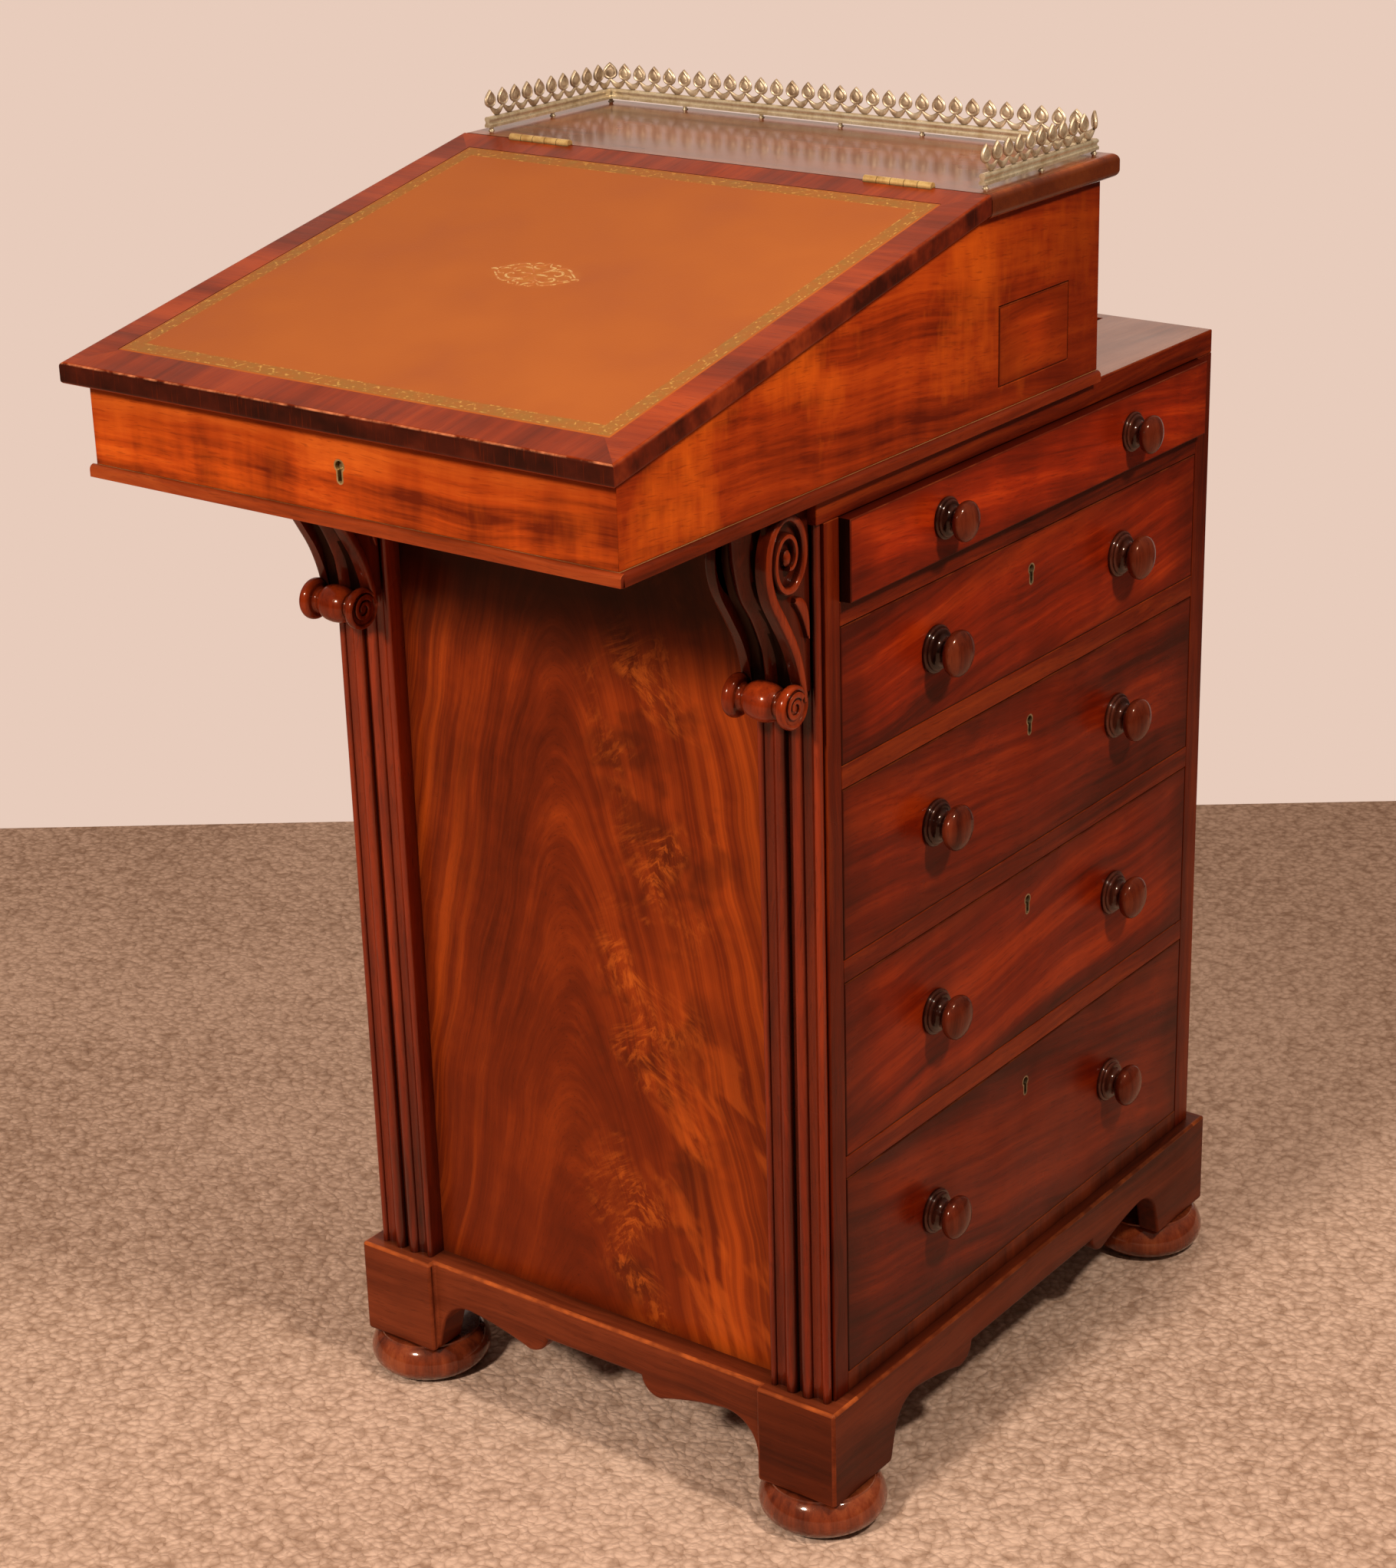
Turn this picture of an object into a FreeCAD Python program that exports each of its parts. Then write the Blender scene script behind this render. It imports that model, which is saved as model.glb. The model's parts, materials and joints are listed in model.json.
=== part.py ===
"""A davenport desk: a drawer pedestal that carries a sliding writing box with a sloping lid.

The frame has +Z up, the front of the desk towards -Y and its drawers on the +X side. The origin lies on
the floor, midway between the sides and midway between the lid's front edge and the rear feet. The box
rests slid forward and the top drawer rests a little open. All lengths are millimetres.
"""

import FreeCAD, Part
import math
import os
import re

from FreeCAD import Vector

doc = FreeCAD.newDocument("davenport")

# Driving dimensions, by the piece that carries them
SIZES = {
    # Feet and plinth
    "foot_height": 31,
    "foot_radius": 45,
    "foot_base_radius": 31,
    "foot_neck_radius": 37,
    "foot_neck_height": 1.5,
    "foot_inset": 33,
    "plinth_height": 74,
    "plinth_thickness": 18,
    "plinth_overhang_side": 9.5,
    "plinth_overhang_front": 8,
    "plinth_overhang_back": 12,
    "block_width": 65,
    "block_projection": 6,
    "bracket_width": 71,
    "bracket_rise": 24,
    "bracket_rake": 6,
    "arch_width": 30,
    "arch_height": 42,
    "lobe_reach": 52,
    "lobe_height": 30,
    "lobe_return": 17,
    "apron_height": 44,
    # Pedestal
    "carcase_width": 407,
    "opening_width": 458,
    "opening_1_height": 55,
    "opening_2_height": 93,
    "opening_3_height": 119,
    "opening_4_height": 127,
    "opening_5_height": 149,
    "divider_thickness": 16,
    "bottom_thickness": 15,
    "deck_thickness": 17,
    "stile_width": 16,
    "stile_thickness": 14,
    "side_thickness": 14,
    "back_thickness": 20,
    "back_frame_width": 46,
    "back_field_depth": 4,
    "panel_recess": 16,
    "panel_thickness": 6,
    "pilaster_width": 48,
    "pilaster_projection": 8,
    "pilaster_inset": 2,
    "reed_width": 9,
    "reed_depth": 4,
    "reed_gap": 4,
    "bead_width": 5,
    "cove_depth": 1.5,
    "quirk": 1.5,
    # Corbels
    "corbel_rib_width": 9,
    "corbel_web_inset": 5,
    "corbel_ridge_width": 12,
    "volute_radius": 24.5,
    "volute_drop": 31,
    "volute_reach": 25.5,
    "roll_radius": 14.5,
    "roll_drop": 128,
    "roll_reach": 21.5,
    "roll_ball_radius": 12.5,
    "roll_neck_radius": 8,
    "roll_disc_width": 8,
    # Drawers
    "drawer_rear_gap": 9,
    "drawer_front_thickness": 18,
    "drawer_wall": 8,
    "drawer_bottom_thickness": 5,
    "drawer_bottom_rise": 4,
    "drawer_gap": 0.8,
    "running_gap": 0.4,
    "drawer_headroom": 6,
    "top_drawer_ajar": 8,
    "dummy_thickness": 5,
    # Knobs
    "knob_radius": 15.8,
    "small_knob_radius": 13.6,
    "knob_spacing": 240,
    # Locks and keyholes
    "keyhole_head_radius": 4.2,
    "keyhole_tail_width": 5.4,
    "keyhole_height": 15.6,
    "keyhole_rim": 1.1,
    "keyhole_depth": 6,
    "keyhole_drop": 25,
    "lock_width": 56,
    "lock_height": 38,
    "lock_thickness": 8,
    # Writing box
    "box_overhang": 3.5,
    "box_depth": 527,
    "box_height": 138.6,
    "box_wall": 12,
    "floor_thickness": 8,
    "moulding_projection": 3.5,
    "slide_travel": 172,
    "slide_gap": 0.4,
    "batten_spacing": 220,
    "batten_top_width": 16,
    "batten_bottom_width": 26,
    "batten_depth": 11,
    "batten_margin": 12,
    "batten_gap": 0.5,
    "box_keyhole_rise": 38,
    # Flat top and lid
    "top_depth": 160,
    "top_thickness": 16,
    "top_overhang_side": 10,
    "top_overhang_back": 8,
    "top_rounding": 5,
    "lid_drop": 80,
    "lid_thickness": 14,
    "lid_overhang_front": 14,
    "lid_seat_gap": 0.4,
    "lid_rounding": 2.5,
    "border_side": 24,
    "border_front": 27.5,
    "border_back": 22,
    "leather_thickness": 1.2,
    "strike_length": 32,
    "strike_width": 12,
    "strike_thickness": 1.2,
    # Lid hinges
    "hinge_gap": 0.8,
    "hinge_length": 52,
    "hinge_spacing": 294,
    "hinge_leaf": 1.4,
    "hinge_leaf_height": 11,
    "knuckle_radius": 2.8,
    "knuckle_rise": 0.5,
    "knuckle_clearance": 0.4,
    "hinge_pin_radius": 1.25,
    "hinge_pin_clearance": 0.05,
    # Gallery
    "gallery_side_inset": 14,
    "gallery_back_inset": 10.5,
    "gallery_setback": 10,
    "gallery_pin_height": 2.5,
    "gallery_pin_radius": 1.5,
    "gallery_rail_height": 7.5,
    "gallery_rail_thickness": 5,
    "gallery_crest_height": 18.5,
    "gallery_crest_thickness": 2.4,
    # Compartments under the flat top
    "partition": 8,
    "partition_setback": 2,
    "upright_place": 20,
    "shelf_thickness": 6,
    "shelf_rise": 44,
    "pen_opening_width": 88,
    "pen_opening_height": 53.5,
    "pen_opening_rise": 23.6,
    "pen_opening_back": 39,
    "pen_drawer_length": 140,
    "small_front_thickness": 10,
    "small_wall": 5,
    "small_bottom": 4,
    "small_gap": 0.6,
    "small_headroom": 8,
    "inner_drawer_length": 128,
    "inner_knob_radius": 6,
}

# Places worked out from the driving dimensions
PLACES = {
    "half_width": "carcase_width / 2",
    "front_reach": "slide_travel + box_depth + lid_overhang_front - back_thickness - opening_width / 2",
    "back_reach": "opening_width / 2 + back_thickness + plinth_overhang_back + foot_radius - foot_inset",
    "opening_middle": "(front_reach - back_reach) / 2",
    "opening_front": "opening_middle - opening_width / 2",
    "opening_back": "opening_middle + opening_width / 2",
    "stile_front": "opening_front - stile_width",
    "pilaster_front": "stile_front - pilaster_projection",
    "carcase_back": "opening_back + back_thickness",
    "panel_front": "pilaster_front + panel_recess",
    "stile_inner": "half_width - stile_thickness",
    "side_inner": "half_width - side_thickness",
    "drawer_length": "half_width + side_inner - drawer_rear_gap",
    "pilaster_outer": "half_width - pilaster_inset",
    "pilaster_inner": "pilaster_outer - pilaster_width",
    "plinth_front": "pilaster_front - plinth_overhang_front",
    "plinth_back": "carcase_back + plinth_overhang_back",
    "plinth_half": "half_width + plinth_overhang_side",
    "plinth_top": "foot_height + plinth_height",
    "opening_5_low": "plinth_top + bottom_thickness",
    "opening_5_high": "opening_5_low + opening_5_height",
    "opening_4_low": "opening_5_high + divider_thickness",
    "opening_4_high": "opening_4_low + opening_4_height",
    "opening_3_low": "opening_4_high + divider_thickness",
    "opening_3_high": "opening_3_low + opening_3_height",
    "opening_2_low": "opening_3_high + divider_thickness",
    "opening_2_high": "opening_2_low + opening_2_height",
    "opening_1_low": "opening_2_high + divider_thickness",
    "opening_1_high": "opening_1_low + opening_1_height",
    "deck_low": "opening_1_high",
    "deck_level": "deck_low + deck_thickness",
    "box_base": "deck_level + slide_gap",
    "floor_top": "box_base + floor_thickness",
    "box_half": "half_width + box_overhang",
    "box_inner": "box_half - box_wall",
    "box_back_face": "carcase_back - slide_travel",
    "box_front_face": "box_back_face - box_depth",
    "box_back_inner": "box_back_face - box_wall",
    "box_front_inner": "box_front_face + box_wall",
    "top_low": "box_base + box_height",
    "top_level": "top_low + top_thickness",
    "top_half": "box_half + top_overhang_side",
    "top_back": "box_back_face + top_overhang_back",
    "hinge_line": "top_back - top_depth",
    "lid_back": "hinge_line - hinge_gap",
    "lid_front": "box_front_face - lid_overhang_front",
    "lid_slope": "lid_drop / (hinge_line - lid_front)",
    "front_top": "top_level - lid_thickness - lid_seat_gap - lid_slope * (hinge_line - box_front_face)",
    "hinge_axis_y": "hinge_line - hinge_gap / 2",
    "hinge_axis_z": "top_level + knuckle_rise",
    "leaf_high": "hinge_axis_z - knuckle_radius - knuckle_clearance",
    "leaf_low": "leaf_high - hinge_leaf_height",
    "groove_front": "pilaster_front + batten_margin",
    "groove_back": "carcase_back - batten_margin",
    "gallery_x": "top_half - gallery_side_inset",
    "gallery_y": "top_back - gallery_back_inset",
    "gallery_front": "hinge_line + gallery_setback",
    "rail_low": "top_level + gallery_pin_height",
    "crest_low": "rail_low + gallery_rail_height",
    "partition_front": "hinge_line + partition_setback",
    "upright_left": "upright_place - partition / 2",
    "upright_right": "upright_place + partition / 2",
    "pen_back": "box_back_face - pen_opening_back",
    "pen_front": "pen_back - pen_opening_width",
    "pen_low": "box_base + pen_opening_rise",
    "pen_high": "pen_low + pen_opening_height",
    "shelf_low": "floor_top + shelf_rise",
}

# Shapes drawn as shares of the sizes that carry them, each pair along and across
ARC_MIDDLE_SHARES = (0.29, 0.71)
LOBE_SAG_SHARE = 0.12
KNOB_ROSE_SHARES = ((0.0, 1.04), (0.15, 1.04), (0.32, 0.84), (0.46, 0.54))
KNOB_NECK_SHARE = 0.52
KNOB_HEAD_SHARES = ((0.66, 0.52), (0.86, 0.85), (1.18, 1.0), (1.62, 0.0))
SCROLL_FRONT_SHARES = ((0.98, 0.24), (0.9, 0.42), (0.63, 0.59), (0.44, 0.73), (0.42, 0.93))
SCROLL_BACK_SHARES = ((0.02, 1.0), (0.06, 0.78), (0.24, 0.66), (0.46, 0.54), (0.62, 0.42))
WEB_STEP_SHARE = 0.1
RIDGE_STEP_SHARE = 0.04
CREST_SHARES = {"bud_width": 0.5, "shoulder": 0.42, "dip": 0.16, "eye": 0.1, "eye_rise": 0.2}
CREST_PITCH_COUNT = 30
GALLERY_PIN_EVERY = 5
HINGE_KNUCKLES = 5

sheet = doc.addObject("Spreadsheet::Sheet", "sizes")
for row, (name, number) in enumerate(SIZES.items(), start=1):
    sheet.set(f"A{row}", name)
    sheet.set(f"B{row}", str(number))
    sheet.setAlias(f"B{row}", name)


def bound(text):
    """Name the sheet that each word of an expression comes from."""
    def sheet_word(match):
        word = match.group(0)
        return f"sizes.{word}" if word in SIZES else f"places.{word}"
    return re.sub(r"[a-z]\w*", sheet_word, text)


places = doc.addObject("Spreadsheet::Sheet", "places")
for row, (name, text) in enumerate(PLACES.items(), start=1):
    places.set(f"A{row}", name)
    places.set(f"B{row}", "=" + bound(text).replace("places.", ""))
    places.setAlias(f"B{row}", name)
doc.recompute()


def size(name):
    """The number behind a name of either sheet."""
    return float(getattr(sheet if name in SIZES else places, name))


nodes = []


def node(piece):
    """Mark a piece as one that is written out under its label."""
    nodes.append(piece)
    return piece


def slab(label, x, y, z):
    """A board between two expressions along each axis."""
    board = doc.addObject("Part::Box", label)
    for side, axis, (low, high) in (("Length", "x", x), ("Width", "y", y), ("Height", "z", z)):
        board.setExpression(side, bound(f"({high}) - ({low})"))
        board.setExpression(f"Placement.Base.{axis}", bound(low))
    return board


def group(label, pieces):
    """Separate solids under one label."""
    bundle = doc.addObject("Part::Compound", label)
    bundle.Links = pieces
    return bundle


def cut(label, base, tools):
    """A piece with other shapes taken out of it."""
    result = doc.addObject("Part::Cut", label)
    result.Base = base
    result.Tool = tools[0] if len(tools) == 1 else group(f"{label}_tools", tools)
    return result


def fuse(label, pieces):
    """Several shapes joined into one solid."""
    result = doc.addObject("Part::MultiFuse", label)
    result.Shapes = pieces
    return result


def path(start, *steps):
    """Edges of a closed outline; a step is the next point, or an arc's middle and its end."""
    edges = []
    here = start
    for step in steps:
        if isinstance(step[0], tuple):
            middle, end = step
            edges.append(Part.Arc(Vector(*here, 0), Vector(*middle, 0), Vector(*end, 0)))
        else:
            end = step
            edges.append(Part.LineSegment(Vector(*here, 0), Vector(*end, 0)))
        here = end
    if here != start:
        edges.append(Part.LineSegment(Vector(*here, 0), Vector(*start, 0)))
    return edges


def outline_sketch(body, label, plane, edges):
    """A sketch of edges on one of the body's own planes."""
    sketch = body.newObject("Sketcher::SketchObject", label)
    support = [item for item in body.Origin.OriginFeatures if item.Role == f"{plane}_Plane"]
    sketch.AttachmentSupport = [(support[0], "")]
    sketch.MapMode = "FlatFace"
    sketch.addGeometry(edges, False)
    return sketch


def prism(label, plane, edges, low, high):
    """An outline padded between two expressions along the normal of its plane."""
    body = doc.addObject("PartDesign::Body", label)
    sketch = outline_sketch(body, f"{label}_outline", plane, edges)
    start = f"-({high})" if plane == "XZ" else low
    sketch.setExpression("AttachmentOffset.Base.z", bound(start))
    pad = body.newObject("PartDesign::Pad", f"{label}_pad")
    pad.Profile = sketch
    pad.setExpression("Length", bound(f"({high}) - ({low})"))
    return body


def turned(label, plane, axis, edges, place):
    """An outline turned about an axis of its sketch and set at a place."""
    body = doc.addObject("PartDesign::Body", label)
    sketch = outline_sketch(body, f"{label}_outline", plane, edges)
    spin = body.newObject("PartDesign::Revolution", f"{label}_turn")
    spin.Profile = sketch
    spin.ReferenceAxis = (sketch, [axis])
    spin.Angle = 360
    for letter, text in zip("xyz", place):
        body.setExpression(f"Placement.Base.{letter}", bound(text))
    return body


def keyhole_path(across, up, inset):
    """A keyhole outline round its head's centre, drawn in by an inset."""
    radius = size("keyhole_head_radius") - inset
    half = size("keyhole_tail_width") / 2 - inset
    foot = up + size("keyhole_head_radius") - size("keyhole_height") + inset
    neck = up - math.sqrt(radius**2 - half**2)
    return path(
        (across - half, foot + half),
        (across - half, neck),
        ((across, up + radius), (across + half, neck)),
        (across + half, foot + half),
        ((across, foot), (across - half, foot + half)),
    )


# Feet and plinth


def foot(label, x, y):
    bun_top = size("foot_height") - size("foot_neck_height")
    outline = path(
        (0, 0),
        (size("foot_base_radius"), 0),
        ((size("foot_radius"), bun_top / 2), (size("foot_neck_radius"), bun_top)),
        (size("foot_neck_radius"), size("foot_height")),
        (0, size("foot_height")),
    )
    return turned(label, "XZ", "V_Axis", outline, (x, y, "0"))


def bracket_steps(end, bracket, inward):
    """Lower edge of a plinth board from one of its ends to the flat at its middle."""
    low = size("foot_height")
    rise = low + size("bracket_rise")
    arch = low + size("arch_height")
    lobe = low + size("lobe_height")
    flat = low + size("apron_height")
    foot_end = end + inward * bracket
    arch_start = foot_end + inward * size("bracket_rake")
    arch_end = arch_start + inward * size("arch_width")
    lobe_end = arch_end + inward * size("lobe_reach")
    flat_end = lobe_end + inward * size("lobe_return")
    along, across = ARC_MIDDLE_SHARES
    arch_middle = arch_start + inward * along * size("arch_width"), rise + across * (arch - rise)
    sag_middle = (arch_end + lobe_end) / 2, (arch + lobe) / 2 + LOBE_SAG_SHARE * (arch - lobe)
    lobe_middle = lobe_end + inward * across * size("lobe_return"), lobe + along * (flat - lobe)
    corners = [(end, low), (foot_end, low), (arch_start, rise)]
    corners += [(arch_end, arch), (lobe_end, lobe), (flat_end, flat)]
    return corners, [arch_middle, sag_middle, lobe_middle]


def apron_path(low_end, high_end, low_bracket, high_bracket):
    """A plinth board: brackets at its ends, a shaped lower edge and a straight top."""
    start, start_arcs = bracket_steps(low_end, low_bracket, 1)
    end, end_arcs = bracket_steps(high_end, high_bracket, -1)
    top = size("plinth_top")
    return path(
        (low_end, top),
        *start[:3],
        *zip(start_arcs, start[3:]),
        end[5],
        *zip(reversed(end_arcs), reversed(end[2:5])),
        *reversed(end[:2]),
        (high_end, top),
    )


def plinth():
    front_inner = "panel_front + panel_thickness"
    apron = prism(
        "plinth_apron", "XZ",
        apron_path(-size("plinth_half"), size("plinth_half"), size("block_width"), size("block_width")),
        "plinth_front + block_projection", front_inner,
    )
    blocks = [
        slab("plinth_block_left", ("-plinth_half", "block_width - plinth_half"),
             ("plinth_front", front_inner), ("foot_height", "plinth_top")),
        slab("plinth_block_right", ("plinth_half - block_width", "plinth_half"),
             ("plinth_front", front_inner), ("foot_height", "plinth_top")),
    ]
    node(fuse("plinth_front_board", [apron] + blocks))
    back_inner = "plinth_back - plinth_thickness"
    node(slab("plinth_back_board", ("-plinth_half", "plinth_half"), (back_inner, "plinth_back"),
              ("foot_height", "plinth_top")))
    front_end = size("panel_front") + size("panel_thickness")
    back_end = size("plinth_back") - size("plinth_thickness")
    brackets = [size("bracket_width") - size("plinth_thickness")]
    brackets.append(size("plinth_front") + size("bracket_width") - front_end)
    for side, low, high in (("left", "-plinth_half", "plinth_thickness - plinth_half"),
                            ("right", "plinth_half - plinth_thickness", "plinth_half")):
        node(prism(f"plinth_{side}_board", "YZ", apron_path(front_end, back_end, *brackets[::-1]), low, high))
    feet = []
    for side, x in (("left", "foot_inset - plinth_half"), ("right", "plinth_half - foot_inset")):
        for end, y in (("front", "plinth_front + foot_inset"), ("back", "plinth_back - foot_inset")):
            feet.append(foot(f"foot_{end}_{side}", x, y))
    node(group("bun_feet", feet))


# Pedestal carcase


def pilaster(side, hand):
    """A corner post, rebated for the side behind it, with two reeds between coves and corner beads."""
    crown = size("pilaster_front")
    ground = crown + size("reed_depth")
    bead = size("bead_width")
    reed = size("reed_width")
    gap = size("reed_gap")
    cove = (size("pilaster_width") - gap) / 2 - reed - bead
    outer = size("pilaster_outer")
    inner = size("pilaster_inner")
    step = size("stile_inner") if hand > 0 else size("side_inner")
    quirk = size("quirk")
    steps = []
    here = inner
    for width, rise in ((bead, -bead / 2), (cove, size("cove_depth")), (reed, -size("reed_depth"))):
        steps.append(((hand * (here + width / 2), ground + rise), (hand * (here + width), ground)))
        here += width
    steps.append((hand * here, ground + gap / 2))
    here += gap
    steps.append((hand * here, ground + gap / 2))
    steps.append((hand * here, ground))
    for width, rise in ((reed, -size("reed_depth")), (cove, size("cove_depth")), (bead, -bead / 2)):
        steps.append(((hand * (here + width / 2), ground + rise), (hand * (here + width), ground)))
        here += width
    edges = path(
        (hand * inner, ground),
        *steps,
        (hand * outer, size("stile_front") - quirk),
        (hand * (outer - quirk), size("stile_front")),
        (hand * step, size("stile_front")),
        (hand * step, size("opening_front")),
        (hand * inner, size("opening_front")),
    )
    node(prism(f"pilaster_{side}", "XY", edges, "plinth_top", "deck_low"))


def scroll_point(shares, step):
    """A point of the corbel's scroll, from shares of its reach and its drop."""
    reach = size("volute_reach") + size("volute_radius")
    drop = size("roll_drop")
    forward, down = shares
    return size("pilaster_front") - (forward - step) * reach, size("deck_level") - down * drop


def scroll_band():
    """The S of the corbel's side, from the volute down to the roll."""
    front = [scroll_point(pair, 0) for pair in SCROLL_FRONT_SHARES]
    back = [scroll_point(pair, 0) for pair in SCROLL_BACK_SHARES]
    return path(front[0], (front[1], front[2]), (front[3], front[4]), back[0],
                (back[1], back[2]), (back[3], back[4]))


def circle_path(centre, radius):
    y, z = centre
    return path((y - radius, z), ((y, z + radius), (y + radius, z)), ((y, z - radius), (y - radius, z)))


def web_path(step):
    """The corbel's solid middle, from the scroll's front back to the pilaster."""
    front = [scroll_point(pair, step) for pair in SCROLL_FRONT_SHARES]
    wall = size("pilaster_front")
    top = size("deck_level")
    return path((front[0][0], top), front[0], (front[1], front[2]), (front[3], front[4]),
                (wall, front[4][1]), (wall, top))


def corbel(side, hand):
    """A scrolled bracket under the box: side scrolls with volutes, a ridge between, and a turned roll."""
    volute = size("pilaster_front") - size("volute_reach"), size("deck_level") - size("volute_drop")
    low, high = ("pilaster_inner", "pilaster_outer") if hand > 0 else ("-pilaster_outer", "-pilaster_inner")
    ribs = {
        "low": (low, f"{low} + corbel_rib_width"),
        "high": (f"{high} - corbel_rib_width", high),
    }
    pieces = [
        prism(f"corbel_{side}_web", "YZ", web_path(WEB_STEP_SHARE),
              f"{low} + corbel_web_inset", f"{high} - corbel_web_inset"),
        prism(f"corbel_{side}_ridge", "YZ", web_path(RIDGE_STEP_SHARE),
              f"({low} + {high} - corbel_ridge_width) / 2", f"({low} + {high} + corbel_ridge_width) / 2"),
    ]
    for name, (start, end) in ribs.items():
        pieces.append(prism(f"corbel_{side}_scroll_{name}", "YZ", scroll_band(), start, end))
        pieces.append(prism(f"corbel_{side}_volute_{name}", "YZ",
                            circle_path(volute, size("volute_radius")), start, end))
    half = size("pilaster_width") / 2
    disc = size("roll_disc_width")
    ball = size("roll_ball_radius")
    neck = size("roll_neck_radius")
    reach = math.sqrt(ball**2 - neck**2)
    outline = path(
        (-half, 0),
        (-half, size("roll_radius")),
        (disc - half, size("roll_radius")),
        (disc - half, neck),
        (-reach, neck),
        ((0, ball), (reach, neck)),
        (half - disc, neck),
        (half - disc, size("roll_radius")),
        (half, size("roll_radius")),
        (half, 0),
    )
    pieces.append(turned(f"corbel_{side}_roll", "XY", "H_Axis", outline,
                         (f"({low} + {high}) / 2", "pilaster_front - roll_reach", "deck_level - roll_drop")))
    node(fuse(f"corbel_{side}", pieces))


def pedestal():
    width = ("-side_inner", "half_width")
    opening = ("opening_front", "opening_back")
    upright = ("plinth_top", "deck_low")
    node(slab("bottom_board", width, opening, ("plinth_top", "opening_5_low")))
    dividers = [
        slab(f"divider_{number}", width, opening, (f"opening_{number + 1}_high", f"opening_{number}_low"))
        for number in range(1, 5)
    ]
    node(group("drawer_dividers", dividers))
    stiles = [
        slab("stile_front_strip", ("stile_inner", "half_width"), ("stile_front", "opening_front"), upright),
        slab("stile_back_strip", ("stile_inner", "half_width"), ("opening_back", "carcase_back"), upright),
    ]
    node(group("drawer_stiles", stiles))
    node(slab("front_panel", ("-pilaster_inner", "pilaster_inner"),
              ("panel_front", "panel_front + panel_thickness"), upright))
    field = slab("back_field", ("back_frame_width - side_inner", "stile_inner - back_frame_width"),
                 ("carcase_back - back_field_depth", "carcase_back + back_field_depth"),
                 ("plinth_top + back_frame_width", "deck_low - back_frame_width"))
    board = slab("back_frame", ("-side_inner", "stile_inner"), ("opening_back", "carcase_back"), upright)
    node(cut("back_panel", board, [field]))
    for side, hand in (("left", -1), ("right", 1)):
        pilaster(side, hand)
        corbel(side, hand)


def deck():
    """The pedestal top, with two dovetail grooves that the box's battens run in."""
    board = slab("deck_board", ("-half_width", "half_width"), ("pilaster_front", "carcase_back"),
                 ("deck_low", "deck_level"))
    grooves = []
    for side, hand in (("left", -1), ("right", 1)):
        edges = batten_path(hand, size("batten_gap"), size("deck_level") + size("batten_gap"))
        grooves.append(prism(f"groove_{side}", "XZ", edges, "groove_front", "groove_back"))
    node(cut("pedestal_top", board, grooves))


def batten_path(hand, gap, top):
    """A dovetail's section, widened by a gap."""
    centre = hand * size("batten_spacing") / 2
    low = size("box_base") - size("batten_depth") - gap
    return path(
        (centre - size("batten_top_width") / 2 - gap, top),
        (centre - size("batten_bottom_width") / 2 - gap, low),
        (centre + size("batten_bottom_width") / 2 + gap, low),
        (centre + size("batten_top_width") / 2 + gap, top),
    )


# Knobs, drawers and locks


def knob(label, radius_name, axis, place):
    """A turned knob: a moulded rose, a neck and a mushroom head."""
    radius = size(radius_name)

    def scaled(shares):
        return shares[0] * radius, shares[1] * radius

    rose = [scaled(pair) for pair in KNOB_ROSE_SHARES]
    head = [scaled(pair) for pair in KNOB_HEAD_SHARES]
    neck = KNOB_NECK_SHARE * radius
    rim, tip = head[2], head[3]
    dome_radius = (rim[1]**2 + (tip[0] - rim[0])**2) / (2 * (tip[0] - rim[0]))
    half_angle = math.asin(rim[1] / dome_radius) / 2
    dome = tip[0] - dome_radius * (1 - math.cos(half_angle)), dome_radius * math.sin(half_angle)
    hand = -1 if axis.startswith("-") else 1

    def faced(point):
        return (hand * point[0], point[1]) if axis.endswith("x") else (point[1], hand * point[0])

    outline = path(
        faced((0, 0)),
        faced(rose[0]),
        faced(rose[1]),
        (faced(rose[2]), faced(rose[3])),
        faced((rose[3][0], neck)),
        faced((head[0][0], neck)),
        (faced(head[1]), faced(rim)),
        (faced(dome), faced(tip)),
    )
    plane_axis = "H_Axis" if axis.endswith("x") else "V_Axis"
    return turned(label, "XY", plane_axis, outline, place)


def knob_spots(number):
    """The end, size and place along and up of the two knobs of a pedestal drawer."""
    radius_name = "small_knob_radius" if number == 1 else "knob_radius"
    up = f"(opening_{number}_low + opening_{number}_high) / 2"
    return [
        ("front", radius_name, "opening_middle - knob_spacing / 2", up),
        ("back", radius_name, "opening_middle + knob_spacing / 2", up),
    ]


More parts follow.
